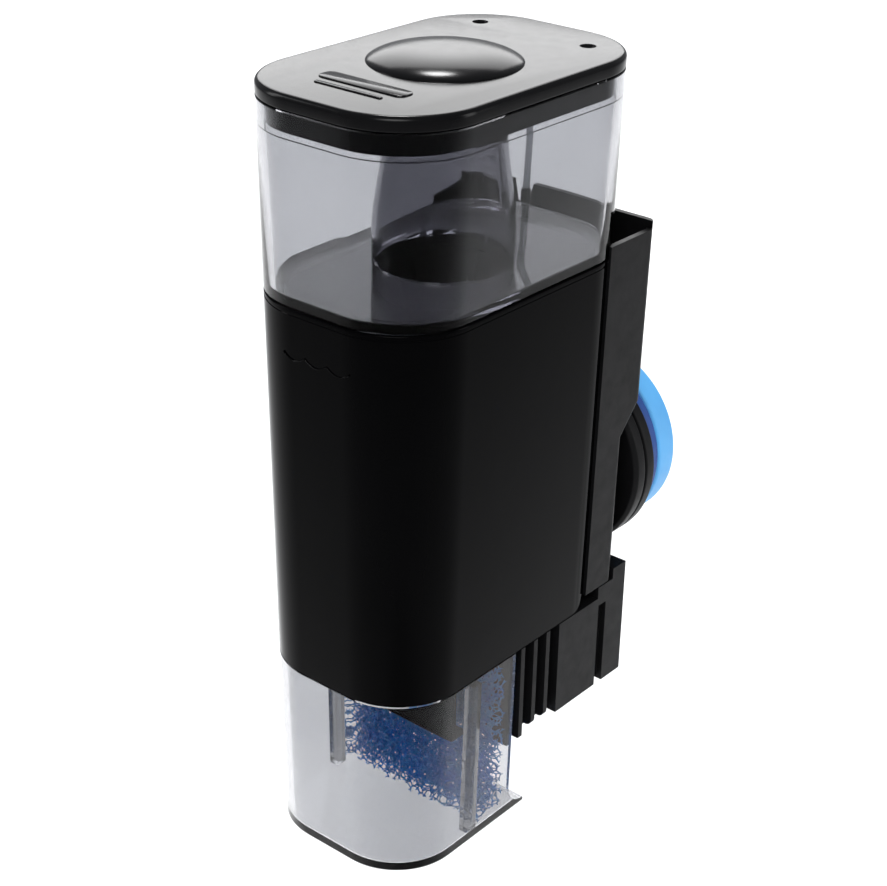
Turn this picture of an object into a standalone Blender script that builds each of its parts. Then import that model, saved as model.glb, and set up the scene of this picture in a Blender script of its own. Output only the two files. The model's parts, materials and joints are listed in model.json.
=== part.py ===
"""Internal aquarium skimmer-filter that hangs on the inside of the glass by a magnetic holder.

Body frame used below, in metres: X across, front at -Y, rear at +Y, Z up, z = 0 under the lower box, and
x = y = 0 in the middle of the lid. The whole unit is then moved so that the centre of the holder pad's rear
face, which lies on the glass, is the world origin.
"""

import math

import bmesh
import bpy
from mathutils import Matrix, Vector

MM = 0.001

# Moulded outline, shared by lid, foam cup, skimmer body and lower box
WIDTH = 71.0 * MM
DEPTH = 110.0 * MM
FRONT_RADIUS = 26.0 * MM
REAR_RADIUS = 25.0 * MM
DRAFT = 0.0168  # every side leans in by this much per unit of height below the lid
CORNER_STEPS = 7
GAP = 0.3 * MM

# Heights
LID_TOP = 245.2 * MM
LID_RIM = 240.8 * MM
SKIRT_BOTTOM = 234.0 * MM
DOME_HEIGHT = 3.6 * MM
DOME_RADIUS = 22.4 * MM
CUP_LEDGE = 232.3 * MM
SEAM = 184.0 * MM
SLEEVE_BOTTOM = 62.8 * MM
TANK_BOTTOM = 62.8 * MM

# Walls
CUP_WALL = 2.2 * MM
BODY_WALL = 1.8 * MM
TANK_INSET = 2.5 * MM
TANK_WALL = 1.8 * MM
BOX_WALL = 2.2 * MM

# Riser and reaction tube, both on the unit's vertical axis
RISER_INNER = 19.8 * MM
RISER_WALL = 1.4 * MM
REACTION_OUTER = 18.6 * MM
REACTION_INNER = 16.8 * MM
RISER_TOP = 226.0 * MM
RISER_BOTTOM = 165.0 * MM

# Intake shaft
SLEEVE_REAR = 37.2 * MM
SHAFT_UPPER_REAR = 60.5 * MM
SHAFT_LOWER_REAR = 52.0 * MM
SHAFT_STEP_TOP = 130.0 * MM
SHAFT_STEP_BOTTOM = 120.0 * MM
SHAFT_BOTTOM = 67.0 * MM
SHAFT_SIDE_TOP = 188.0 * MM
SHAFT_REAR_TOP = 190.5 * MM
TANK_LOWER_REAR = 44.0 * MM

# Pump housing under the shaft
HOUSING_CORE = 28.6 * MM
HOUSING_FACE = 32.6 * MM
HOUSING_FRONT = 1.3 * MM
HOUSING_REAR = 59.4 * MM
HOUSING_BOTTOM = 28.5 * MM
HOUSING_WALL = 2.1 * MM
FRONT_WALL = 1.5 * MM
BLOCK_FRONT = 23.4 * MM
BLOCK_REAR = 45.0 * MM
GROOVE_REAR = 49.0 * MM
RIB_PITCH = 6.5 * MM
FIRST_RIB = 3.6 * MM
RIB_THICKNESS = 2.0 * MM
PUMP_Z = 45.6 * MM
OUTLET_Y = 10.5 * MM

# Lower box
BOX_SIDE_REAR = 1.0 * MM
BOX_FLOOR_REAR = 9.0 * MM
BOX_FLOOR = 2.0 * MM

# Magnetic holder, its axis along Y
HOLDER_Z = 100.0 * MM
CARRIER_RADIUS = 33.5 * MM
CARRIER_FRONT = 61.0 * MM
CARRIER_REAR = 72.0 * MM
BACKING_REAR = 77.8 * MM
PAD_RADIUS = 31.0 * MM
PAD_REAR = 86.8 * MM

# Pump on its axle along Y: motor block, needle wheel, cover
MOTOR_HALF = 17.0 * MM
MOTOR_FRONT = 18.4 * MM
MOTOR_REAR = 54.0 * MM
MOTOR_LOW = 32.3 * MM
MOTOR_HIGH = 60.0 * MM
WELL_RADIUS = 9.2 * MM
COVER_FRONT = 6.7 * MM
COVER_REAR = 16.6 * MM
COVER_RADIUS = 13.6 * MM
AXLE_RADIUS = 1.0 * MM
BORE_RADIUS = 1.3 * MM

# Air line, in the intake shaft
PIPE_X = -12.7 * MM
PIPE_Y = 56.8 * MM
PIPE_RADIUS = 1.1 * MM
SOCKET_RADIUS = 1.5 * MM
HOSE_RADIUS = 1.6 * MM

FINISHES = {
    "gloss_black": ((0.012, 0.012, 0.014), 0.12, 0.0, 1.0),
    "satin_black": ((0.02, 0.02, 0.022), 0.45, 0.0, 1.0),
    "smoke_clear": ((0.42, 0.43, 0.50), 0.05, 0.0, 0.35),
    "clear": ((0.80, 0.83, 0.88), 0.05, 0.0, 0.25),
    "blue_sponge": ((0.02, 0.12, 0.55), 0.8, 0.0, 1.0),
    "blue_rubber": ((0.10, 0.42, 0.95), 0.55, 0.0, 1.0),
    "navy_rubber": ((0.01, 0.06, 0.25), 0.5, 0.0, 1.0),
    "black_rubber": ((0.015, 0.015, 0.015), 0.7, 0.0, 1.0),
    "ceramic": ((0.85, 0.84, 0.80), 0.3, 0.0, 1.0),
    "ferrite": ((0.06, 0.06, 0.065), 0.5, 0.3, 1.0),
    "red_plastic": ((0.55, 0.03, 0.02), 0.35, 0.0, 1.0),
    "hose": ((0.75, 0.78, 0.80), 0.3, 0.0, 0.6),
}


def clear_scene():
    for obj in list(bpy.data.objects):
        bpy.data.objects.remove(obj, do_unlink=True)
    for block in (bpy.data.meshes, bpy.data.curves, bpy.data.materials):
        for item in list(block):
            block.remove(item)


def material(name, finish):
    color, roughness, metallic, alpha = FINISHES[finish]
    mat = bpy.data.materials.new(name + "_" + finish)
    mat.use_nodes = True
    shader = mat.node_tree.nodes["Principled BSDF"]
    shader.inputs["Base Color"].default_value = (*color, 1.0)
    shader.inputs["Roughness"].default_value = roughness
    shader.inputs["Metallic"].default_value = metallic
    shader.inputs["Alpha"].default_value = alpha
    return mat


def new_object(name, bm, finish=None, at=(0, 0, 0)):
    """Link bm as a mesh object placed at a point of the body frame."""
    bmesh.ops.recalc_face_normals(bm, faces=bm.faces)
    mesh = bpy.data.meshes.new(name)
    bm.to_mesh(mesh)
    bm.free()
    obj = bpy.data.objects.new(name, mesh)
    bpy.context.scene.collection.objects.link(obj)
    obj.parent = unit
    obj.location = at
    if finish:
        mesh.materials.append(material(name, finish))
    return obj


def smooth(obj, angle=35.0):
    obj.data.shade_smooth()
    obj.data.set_sharp_from_angle(angle=math.radians(angle))
    return obj


def boolean(obj, tool, operation):
    """Cut, join or intersect obj with tool, which stays in the scene as a hidden wire guide."""
    tool.hide_render = True
    tool.display_type = "WIRE"
    modifier = obj.modifiers.new(operation.lower() + "_" + tool.name, "BOOLEAN")
    modifier.object = tool
    modifier.operation = operation
    modifier.solver = "EXACT"
    return obj


def cut(obj, *tools):
    for tool in tools:
        boolean(obj, tool, "DIFFERENCE")
    return obj


def join(obj, *tools):
    for tool in tools:
        boolean(obj, tool, "UNION")
    return obj


# Outlines ------------------------------------------------------------------------------------------------


def draft_inset(z):
    return DRAFT * (LID_TOP - z)


def arc(center, radius, start, end, steps):
    """Points of an arc in plan, from one angle to another in degrees."""
    angles = [math.radians(start + (end - start) * i / steps) for i in range(steps + 1)]
    return [(center[0] + radius * math.cos(a), center[1] + radius * math.sin(a)) for a in angles]


def outline(inset=0.0, rear=None):
    """Rounded rectangle of the moulded body in plan, moved in by inset; rear replaces its rear edge."""
    half = WIDTH / 2 - inset
    front = -DEPTH / 2 + inset
    back = DEPTH / 2 - inset if rear is None else rear
    fr = FRONT_RADIUS - inset
    rr = REAR_RADIUS - inset
    n = CORNER_STEPS
    return (
        arc((half - rr, back - rr), rr, 0, 90, n)
        + arc((-half + rr, back - rr), rr, 90, 180, n)
        + arc((-half + fr, front + fr), fr, 180, 270, n)
        + arc((half - fr, front + fr), fr, 270, 360, n)
    )


def body_ring(z, inset=0.0, rear=None):
    """The body's outline at height z, with its draft, moved in by inset."""
    return [(x, y, z) for x, y in outline(draft_inset(z) + inset, rear)]


def loft(name, rings, finish=None, caps=True, at=(0, 0, 0)):
    """Skin a list of rings of equal count; caps close the first and last ring, else the rings form a loop."""
    bm = bmesh.new()
    levels = [[bm.verts.new(p) for p in ring] for ring in rings]
    pairs = list(zip(levels, levels[1:]))
    if not caps:
        pairs.append((levels[-1], levels[0]))
    for low, high in pairs:
        for i in range(len(low)):
            j = (i + 1) % len(low)
            bm.faces.new((low[i], low[j], high[j], high[i]))
    if caps:
        bm.faces.new(levels[0])
        bm.faces.new(levels[-1])
    return new_object(name, bm, finish, at)


def turned(name, profile, finish=None, at=(0, 0, 0), steps=32, axis="Z"):
    """Closed solid turned from a closed profile of (radius, height) points; radius 0 is on the axis."""
    bm = bmesh.new()
    columns = []
    for i in range(steps):
        a = 2 * math.pi * i / steps
        columns.append([(r * math.cos(a), r * math.sin(a), h) for r, h in profile])
    poles = {k: bm.verts.new((0, 0, profile[k][1])) for k in range(len(profile)) if profile[k][0] == 0}
    verts = [
        [poles[k] if k in poles else bm.verts.new(point) for k, point in enumerate(column)]
        for column in columns
    ]
    for i in range(steps):
        a, b = verts[i], verts[(i + 1) % steps]
        for k in range(len(profile)):
            m = (k + 1) % len(profile)
            corners = list(dict.fromkeys((a[k], b[k], b[m], a[m])))
            if len(corners) > 2:
                bm.faces.new(corners)
    if axis == "Y":
        bmesh.ops.rotate(bm, verts=bm.verts, matrix=Matrix.Rotation(math.radians(-90), 3, "X"))
    if axis == "X":
        bmesh.ops.rotate(bm, verts=bm.verts, matrix=Matrix.Rotation(math.radians(90), 3, "Y"))
    return new_object(name, bm, finish, at)


def rod(name, radius, low, high, finish=None, at=(0, 0, 0), steps=24, axis="Z"):
    return turned(name, [(0, low), (radius, low), (radius, high), (0, high)], finish, at, steps, axis)


def pipe(name, outer, inner, low, high, finish=None, at=(0, 0, 0), steps=24, axis="Z"):
    profile = [(outer, low), (outer, high), (inner, high), (inner, low)]
    return turned(name, profile, finish, at, steps, axis)


def block(name, low, high, finish=None, bevel=0.0, segments=2):
    """Box from corner low to corner high, with its edges rounded by bevel."""
    bm = bmesh.new()
    bmesh.ops.create_cube(bm, size=1.0)
    size = Vector(high) - Vector(low)
    middle = (Vector(high) + Vector(low)) / 2
    bmesh.ops.scale(bm, verts=bm.verts, vec=size)
    bmesh.ops.translate(bm, verts=bm.verts, vec=middle)
    if bevel:
        bmesh.ops.bevel(bm, geom=bm.edges, offset=bevel, segments=segments, affect="EDGES", profile=0.5)
    return new_object(name, bm, finish)


def prism(name, points, low, high, axis="X", finish=None):
    """A flat polygon pushed along an axis: (y, z) points along X, (x, z) points along Y."""
    if axis == "X":
        rings = [[(level, a, b) for a, b in points] for level in (low, high)]
    else:
        rings = [[(a, level, b) for a, b in points] for level in (low, high)]
    return loft(name, rings, finish)


# Lid and foam cup ----------------------------------------------------------------------------------------


def make_lid():
    skirt_out = CUP_WALL + 2 * GAP
    skirt_in = skirt_out + 2.0 * MM
    under = LID_RIM + 2.0 * MM
    rings = [
        body_ring(under, skirt_in),
        body_ring(SKIRT_BOTTOM, skirt_in),
        body_ring(SKIRT_BOTTOM, skirt_out),
        body_ring(LID_RIM, skirt_out),
        body_ring(LID_RIM, 0.2 * MM),
        body_ring(LID_RIM + 0.5 * MM),
        body_ring(LID_TOP - 1.6 * MM),
        body_ring(LID_TOP - 0.5 * MM, 0.5 * MM),
        body_ring(LID_TOP, 1.7 * MM),
    ]
    lid = loft("lid", rings, "gloss_black")
    top = LID_TOP + DOME_HEIGHT
    dome = turned("dome", [
        (0, LID_TOP - MM), (DOME_RADIUS, LID_TOP - MM), (DOME_RADIUS, LID_TOP + 0.2 * MM),
        (DOME_RADIUS - 1.6 * MM, LID_TOP + 0.9 * MM), (DOME_RADIUS - 4.0 * MM, top - 0.6 * MM),
        (DOME_RADIUS - 6.0 * MM, top), (0, top),
    ], steps=40)
    join(lid, dome)
    for side, x in (("left", -20 * MM), ("right", 20 * MM)):
        hole = turned("vent_" + side, [
            (0, LID_RIM - MM), (1.6 * MM, LID_RIM - MM), (1.6 * MM, LID_TOP - 1.2 * MM),
            (2.4 * MM, LID_TOP + 0.2 * MM), (0, LID_TOP + 0.2 * MM),
        ], at=(x, 40.2 * MM, 0), steps=16)
        cut(lid, hole)
    return smooth(lid)


def make_riser():
    """Tube in the middle of the cup: straight at its foot, then narrowing to the foam outlet."""
    foot = RISER_INNER + RISER_WALL
    outer = [
        (foot, RISER_BOTTOM), (foot, 194 * MM), (foot - 0.3 * MM, 199 * MM), (foot - 1.2 * MM, 207 * MM),
        (foot - 2.3 * MM, 215 * MM), (foot - 3.2 * MM, 222 * MM), (foot - 3.6 * MM, RISER_TOP),
    ]
    inner = [(r - RISER_WALL, z) for r, z in reversed(outer)]
    smooth(turned("riser_tube", outer + inner, "smoke_clear", steps=40))


def make_foam_cup():
    floor_low = SEAM + GAP
    floor_high = floor_low + 2.0 * MM
    spigot_out = TANK_INSET + TANK_WALL + 1.4 * MM
    spigot_in = spigot_out + 1.6 * MM
    spigot_low = SEAM - 5.0 * MM
    lower_wall = CUP_WALL + 0.4 * MM
    rings = [
        body_ring(floor_high, lower_wall),
        body_ring(CUP_LEDGE, lower_wall),
        body_ring(CUP_LEDGE + 0.4 * MM, CUP_WALL),
        body_ring(LID_RIM - GAP, CUP_WALL),
        body_ring(LID_RIM - GAP, 0.0),
        body_ring(floor_low, 0.0),
        body_ring(floor_low, spigot_out),
        body_ring(spigot_low, spigot_out),
        body_ring(spigot_low, spigot_in),
        body_ring(floor_low, spigot_in),
    ]
    cup = loft("foam_cup", rings, "smoke_clear")
    hole = RISER_INNER + RISER_WALL + GAP
    bore = rod("riser_hole", hole, floor_low - 2 * MM, floor_high + 2 * MM, steps=40)
    return smooth(cut(cup, bore))


def make_seals():
    """Rubber ring between riser and reaction tube, and the gasket round the cup's spigot."""
    ring_z = 172.0 * MM
    pipe("riser_seal", RISER_INNER - GAP, REACTION_OUTER + GAP, ring_z, ring_z + 1.6 * MM, "black_rubber",
         steps=40)
    outer = TANK_INSET + TANK_WALL + 0.3 * MM
    inner = outer + 0.8 * MM
    low, high = SEAM - 3.6 * MM, SEAM - 1.8 * MM
    rings = [body_ring(low, outer), body_ring(high, outer), body_ring(high, inner), body_ring(low, inner)]
    loft("cup_gasket", rings, "black_rubber", caps=False)


# Skimmer body ---------------------------------------------------------------------------------------------


def side_profile():
    """Side view of the glossy sleeve: straight, with its lower rear corner rounded."""
    r = 7.0 * MM
    corner = arc((SLEEVE_REAR - r, SLEEVE_BOTTOM + r), r, -90, 0, 5)
    far = -DEPTH
    return [(far, SLEEVE_BOTTOM)] + corner + [(SLEEVE_REAR, SEAM), (far, SEAM)]


def make_skimmer_body():
    """Inner tank all the way round, carrying the glossy sleeve over its front and sides."""
    tank_out, tank_in = TANK_INSET, TANK_INSET + TANK_WALL
    rear_levels = [
        (TANK_BOTTOM, TANK_LOWER_REAR), (SHAFT_STEP_BOTTOM, TANK_LOWER_REAR),
        (SHAFT_STEP_TOP + 8 * MM, None), (SEAM, None),
    ]
    outer, inner = [], []
    for z, rear in rear_levels:
        back = DEPTH / 2 - draft_inset(z) - tank_out if rear is None else rear
        outer.append(body_ring(z, tank_out, back))
        inner.append(body_ring(z, tank_in, back - TANK_WALL))
    body = loft("skimmer_body", outer + inner[::-1], "gloss_black", caps=False)
    overlap = TANK_INSET + 0.4 * MM
    jacket = loft("jacket", [
        body_ring(SLEEVE_BOTTOM), body_ring(SEAM),
        body_ring(SEAM, overlap), body_ring(SLEEVE_BOTTOM, overlap),
    ], caps=False)
    wrap = prism("jacket_side_view", side_profile(), -WIDTH, WIDTH)
    boolean(jacket, wrap, "INTERSECT")
    return smooth(join(body, jacket))


def shaft_ring(z, rear, wall=BODY_WALL):
    """U-shaped section of the intake shaft at height z, open to the front."""
    half = WIDTH / 2 - draft_inset(z)
    r = 3.0 * MM
    front = SLEEVE_REAR + GAP
    right = [(half, front)] + arc((half - r, rear - r), r, 0, 90, 3)
    left = [(-x, y) for x, y in reversed(right)]
    inner_half, inner_rear, inner_r = half - wall, rear - wall, r - wall
    inner_left = [(-inner_half, front)] + [
        (-x, y) for x, y in arc((inner_half - inner_r, inner_rear - inner_r), inner_r, 0, 90, 3)
    ]
    inner_right = [(-x, y) for x, y in reversed(inner_left)]
    return [(x, y, z) for x, y in right + left + inner_left + inner_right]


def make_intake_shaft():
    """Rear intake channel: open at the top, stepped in where the holder sits."""
    shaft = loft("intake_shaft", [
        shaft_ring(SHAFT_BOTTOM, SHAFT_LOWER_REAR), shaft_ring(SHAFT_STEP_BOTTOM, SHAFT_LOWER_REAR),
        shaft_ring(SHAFT_STEP_TOP, SHAFT_UPPER_REAR), shaft_ring(SHAFT_REAR_TOP, SHAFT_UPPER_REAR),
    ], "satin_black")
    top = SHAFT_REAR_TOP + MM
    cup_space = loft("cup_space", [body_ring(SEAM - MM, -GAP), body_ring(top, -GAP)])
    side_top = block("side_top", (-WIDTH, 0, SHAFT_SIDE_TOP), (WIDTH, SHAFT_UPPER_REAR - BODY_WALL, top))
    slot_bottom = SHAFT_REAR_TOP - 9.0 * MM
    slot = prism("cable_slot", [
        (-20.2 * MM, top), (-17.6 * MM, slot_bottom), (-13.8 * MM, slot_bottom), (-11.0 * MM, top),
    ], SHAFT_UPPER_REAR - 2 * BODY_WALL, SHAFT_UPPER_REAR + MM, axis="Y")
    notch_bottom = SHAFT_REAR_TOP - 2.6 * MM
    notch = prism("small_notch", [
        (-30.2 * MM, top), (-29.8 * MM, notch_bottom), (-28.6 * MM, notch_bottom), (-28.2 * MM, top),
    ], SHAFT_UPPER_REAR - 2 * BODY_WALL, SHAFT_UPPER_REAR + MM, axis="Y")
    seat = rod("holder_seat", 6.4 * MM, SHAFT_LOWER_REAR - 2 * BODY_WALL, SHAFT_LOWER_REAR + MM,
               at=(0, 0, HOLDER_Z), axis="Y")
    return smooth(cut(shaft, cup_space, side_top, slot, notch, seat))


def make_reaction_tube():
    """Black tube from the pump outlet up into the riser, closed below but for its inlet."""
    low, top = 68.0 * MM, SEAM - 0.8 * MM
    tube = turned("reaction_tube", [
        (0, low), (REACTION_OUTER, low), (REACTION_OUTER, top), (REACTION_INNER, top),
        (REACTION_INNER, low + 2 * MM), (0, low + 2 * MM),
    ], "satin_black", steps=40)
    inlet = rod("inlet", 5.8 * MM, low - MM, low + 3 * MM, at=(0, OUTLET_Y, 0), steps=20)
    return smooth(cut(tube, inlet))


def make_flow_baffle():
    """Plate that makes the water pass low through the sponge, with a lip turned back at its foot."""
    front, rear = -20.6 * MM, -18.9 * MM
    half = 24.0 * MM
    plate = block("flow_baffle", (-half, front, 36.6 * MM), (half, rear, 84.0 * MM), "satin_black")
    foot = block("baffle_foot", (-half, front, 36.6 * MM), (half, -14.6 * MM, 38.4 * MM))
    return join(plate, foot)


# Pump housing ---------------------------------------------------------------------------------------------


def make_pump_housing():
    top = TANK_BOTTOM - GAP
    upper = SHAFT_BOTTOM - GAP
    rear_top = 70.5 * MM
    inner = HOUSING_CORE - HOUSING_WALL
    front_in, rear_in = HOUSING_FRONT + FRONT_WALL, HOUSING_REAR - HOUSING_WALL
    core, face, low = HOUSING_CORE, HOUSING_FACE, HOUSING_BOTTOM
    shaft_front = TANK_LOWER_REAR + GAP
    behind = SHAFT_LOWER_REAR + GAP
    groove = face - 2 * MM
    housing = block("pump_housing", (-core, HOUSING_FRONT, low), (core, HOUSING_REAR, top), "satin_black")
    join(
        housing,
        block("side_blocks", (-face, BLOCK_FRONT, low), (face, BLOCK_REAR, top)),
        block("groove_floor", (-groove, BLOCK_REAR - MM, low + MM), (groove, GROOVE_REAR + MM, top)),
        block("rear_block", (-face, GROOVE_REAR, low), (face, HOUSING_REAR, top)),
        block("shaft_foot", (-face, shaft_front, top - 3 * MM), (face, HOUSING_REAR, upper)),
        block("rear_hood", (-face, behind, upper - MM), (face, HOUSING_REAR, rear_top)),
        block("front_flange", (-core, HOUSING_FRONT, 25.4 * MM), (core, front_in, low + MM)),
    )
    for i in range(3):
        y = FIRST_RIB + i * RIB_PITCH
        foot = low if i == 0 else low + 1.4 * MM
        r = 0.01 * MM if i == 0 else 2.2 * MM
        rounded = arc((face - r, foot + r), r, 0, -90, 3)
        points = [(face, top)] + rounded + [(-x, z) for x, z in reversed(rounded)] + [(-face, top)]
        join(housing, prism("rib_%d" % i, points, y, y + RIB_THICKNESS, axis="Y"))
    cut(
        housing,
        block("bay", (-inner, front_in, low - 5 * MM), (inner, rear_in, top - 2 * MM)),
        block("channel", (-inner, TANK_LOWER_REAR - MM, top - 5 * MM),
              (inner, SHAFT_LOWER_REAR - 2 * MM, rear_top + MM)),
        block("hood_space", (-inner, SHAFT_LOWER_REAR - 3 * MM, top - 5 * MM),
              (inner, rear_in, rear_top - 2 * MM)),
        rod("outlet_hole", 5.8 * MM, top - 4 * MM, top + MM, at=(0, OUTLET_Y, 0), steps=20),
    )
    for i in range(3):
        y = FIRST_RIB + RIB_THICKNESS + i * RIB_PITCH + 0.9 * MM
        slot_low, slot_high = low + 5 * MM, top - 5 * MM
        cut(housing, block("strainer_%d" % i, (-face, y, slot_low), (face, y + 2.4 * MM, slot_high)))
    return housing


def make_pump_base():
    inner = HOUSING_CORE - HOUSING_WALL - GAP
    low = HOUSING_BOTTOM + 0.1 * MM
    front, rear = HOUSING_FRONT + FRONT_WALL + GAP, HOUSING_REAR - HOUSING_WALL - GAP
    block("pump_base", (-inner, front, low), (inner, rear, low + 1.8 * MM), "satin_black")
    pad_low = low + 1.8 * MM + GAP
    for side, x in (("left", -11 * MM), ("right", 11 * MM)):
        for end, y in (("front", 26 * MM), ("rear", 46 * MM)):
            pipe("motor_buffer_%s_%s" % (side, end), 3.5 * MM, 1.2 * MM, pad_low, pad_low + 1.3 * MM,
                 "black_rubber", at=(x, y, 0), steps=16)


def make_motor():
    """Potted motor block with its rotor well open to the front, and the gland of its lead."""
    motor = block("motor_block", (-MOTOR_HALF, MOTOR_FRONT, MOTOR_LOW), (MOTOR_HALF, MOTOR_REAR, MOTOR_HIGH),
                  "satin_black", bevel=3 * MM)
    well_end = MOTOR_REAR - 6 * MM
    well = rod("rotor_well", WELL_RADIUS, MOTOR_FRONT - MM, well_end, at=(0, 0, PUMP_Z), steps=32, axis="Y")
    cut(motor, well)
    smooth(motor)
    low, shoulder, top = MOTOR_HIGH + GAP, MOTOR_HIGH + 2 * MM, MOTOR_HIGH + 7 * MM
    turned("cable_gland", [
        (3.8 * MM, low), (3.8 * MM, shoulder), (2.9 * MM, shoulder + 0.6 * MM), (2.5 * MM, top),
        (1.6 * MM, top), (1.6 * MM, low),
    ], "black_rubber", at=(11 * MM, 48.2 * MM, 0), steps=20)


def make_rotor():
    """Needle wheel and magnet, turning on a ceramic shaft held by two bushes."""
    axle = (0, 0, PUMP_Z)

    def on_axle(name, outer, front, rear, finish=None, steps=20):
        return pipe(name, outer, BORE_RADIUS, front, rear, finish, axle, steps, "Y")

    rod("rotor_shaft", AXLE_RADIUS, 8.8 * MM, 47.4 * MM, "ceramic", at=axle, steps=16, axis="Y")
    on_axle("rear_bush", 3.0 * MM, 45.2 * MM, 47.6 * MM, "black_rubber")
    on_axle("front_bush", 2.2 * MM, 8.7 * MM, 9.9 * MM, "black_rubber")
    on_axle("rotor_magnet", 8.5 * MM, 19.4 * MM, 44.6 * MM, "ferrite", steps=24)
    disc_front, disc_rear = 14.2 * MM, 15.6 * MM
    wheel = on_axle("needle_wheel", 11.2 * MM, disc_front, disc_rear, "satin_black", steps=32)
    join(wheel, on_axle("wheel_hub", 3.4 * MM, 10.4 * MM, 19.1 * MM))
    tip, root = 9.4 * MM, disc_front + 0.8 * MM
    for ring, (radius, count) in enumerate(((6.6 * MM, 6), (9.8 * MM, 12))):
        for i in range(count):
            a = 2 * math.pi * i / count
            at = (radius * math.cos(a), 0, PUMP_Z + radius * math.sin(a))
            join(wheel, rod("needle_%d_%d" % (ring, i), 0.8 * MM, tip, root, at=at, steps=6, axis="Y"))
    return wheel


def make_pump_front():
    """Impeller chamber with its outlet and bush seat, its gasket, and the air nozzle on its intake."""
    axle = (0, 0, PUMP_Z)
    front, rear, r = COVER_FRONT, COVER_REAR, COVER_RADIUS
    wall = 1.3 * MM
    eye = 4.6 * MM
    cover = turned("pump_cover", [
        (r, front), (r, rear), (r - wall, rear), (r - wall, front + 1.4 * MM),
        (eye, front + 1.4 * MM), (eye, front),
    ], "satin_black", at=axle, steps=32, axis="Y")
    outlet_at = (0, OUTLET_Y, 0)
    bar, bar_front, bar_rear = 0.8 * MM, front + 0.2 * MM, front + 1.2 * MM
    outlet_low, outlet_top = PUMP_Z + 12.5 * MM, 72.0 * MM
    join(
        cover,
        block("spider_bar", (-5 * MM, bar_front, PUMP_Z - bar), (5 * MM, bar_rear, PUMP_Z + bar)),
        pipe("bush_seat", 3.2 * MM, 2.5 * MM, front + 0.7 * MM, front + 2.6 * MM, at=axle, steps=20,
             axis="Y"),
        rod("outlet", 5.0 * MM, outlet_low, outlet_top, at=outlet_at, steps=20),
    )
    cut(cover, rod("outlet_bore", 3.9 * MM, PUMP_Z + 8 * MM, outlet_top + MM, at=outlet_at, steps=20))
    smooth(cover)
    pipe("pump_gasket", 13.4 * MM, 11.8 * MM, rear + GAP, rear + 1.5 * MM, "black_rubber", at=axle, steps=32,
         axis="Y")
    nozzle_front = 3.3 * MM
    nozzle = pipe("air_nozzle", 5.8 * MM, 3.8 * MM, nozzle_front, front - GAP, "gloss_black", at=axle,
                  steps=24, axis="Y")
    middle = (0, nozzle_front + 1.5 * MM, PUMP_Z)
    join(nozzle, rod("spigot", 1.2 * MM, -13.0 * MM, -4.6 * MM, at=middle, steps=12, axis="X"))
    cut(nozzle, rod("spigot_bore", 0.6 * MM, -14.0 * MM, -3.0 * MM, at=middle, steps=10, axis="X"))
    return smooth(nozzle)


# Air line -------------------------------------------------------------------------------------------------


def catmull_rom(points, per_span):
    """Points of a smooth curve through the given ones."""
    ends = [points[0] * 2 - points[1]] + points + [points[-1] * 2 - points[-2]]
    result = []
    for a, b, c, d in zip(ends, ends[1:], ends[2:], ends[3:]):
        for i in range(per_span):
            t = i / per_span
            result.append(0.5 * (2 * b + (c - a) * t + (2 * a - 5 * b + 4 * c - d) * t**2
                                 + (3 * b - a - 3 * c + d) * t**3))
    return result + [points[-1]]


def make_air_line():
    """Clear pipe that stands in the shaft, its collar, silencer and screw, and the hose to the nozzle."""
    foot, joint, top = 160.0 * MM, 189.4 * MM, 231.0 * MM
    here = (PIPE_X, PIPE_Y, 0)
    smooth(pipe("air_socket", SOCKET_RADIUS, 0.8 * MM, foot, joint, "black_rubber", at=here, steps=16))
    smooth(pipe("air_pipe", PIPE_RADIUS, 0.6 * MM, joint + GAP, top, "clear", at=here, steps=16))
    cap = 1.6 * MM
    smooth(pipe("silencer", cap, 1.0 * MM, top + GAP, top + 6.5 * MM, "satin_black", at=here, steps=16))
    smooth(turned("air_screw", [
        (0, top + 3.0 * MM), (0.7 * MM, top + 3.0 * MM), (0.7 * MM, top + 6.9 * MM),
        (cap, top + 6.9 * MM), (cap, top + 9.4 * MM), (0, top + 9.4 * MM),
    ], "red_plastic", at=here, steps=16))
    route = [Vector(p) * MM for p in (
        (-12.7, 56.5, 159.5), (-12.7, 56.3, 148), (-12.7, 55.0, 138), (-12.8, 51.6, 129),
        (-13.2, 48.0, 121.5), (-13.8, 46.9, 113), (-14.6, 46.9, 102), (-16.8, 47, 86), (-20, 47.1, 72),
        (-21.6, 47, 61), (-21.8, 42, 51), (-21.8, 33, 46.4), (-21.8, 21, 45.6), (-20.9, 11.5, 45.6),
        (-17.8, 6.4, 45.6), (-13.4, 4.8, 45.6),
    )]
    curve = bpy.data.curves.new("air_hose", "CURVE")
    curve.dimensions = "3D"
    curve.bevel_depth = HOSE_RADIUS
    curve.bevel_resolution = 2
    curve.use_fill_caps = True
    spline = curve.splines.new("POLY")
    points = catmull_rom(route, 3)
    spline.points.add(len(points) - 1)
    for target, point in zip(spline.points, points):
        target.co = (*point, 1.0)
    hose = bpy.data.objects.new("air_hose", curve)
    bpy.context.scene.collection.objects.link(hose)
    hose.parent = unit
    curve.materials.append(material("air_hose", "hose"))


# Lower box ------------------------------------------------------------------------------------------------


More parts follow.
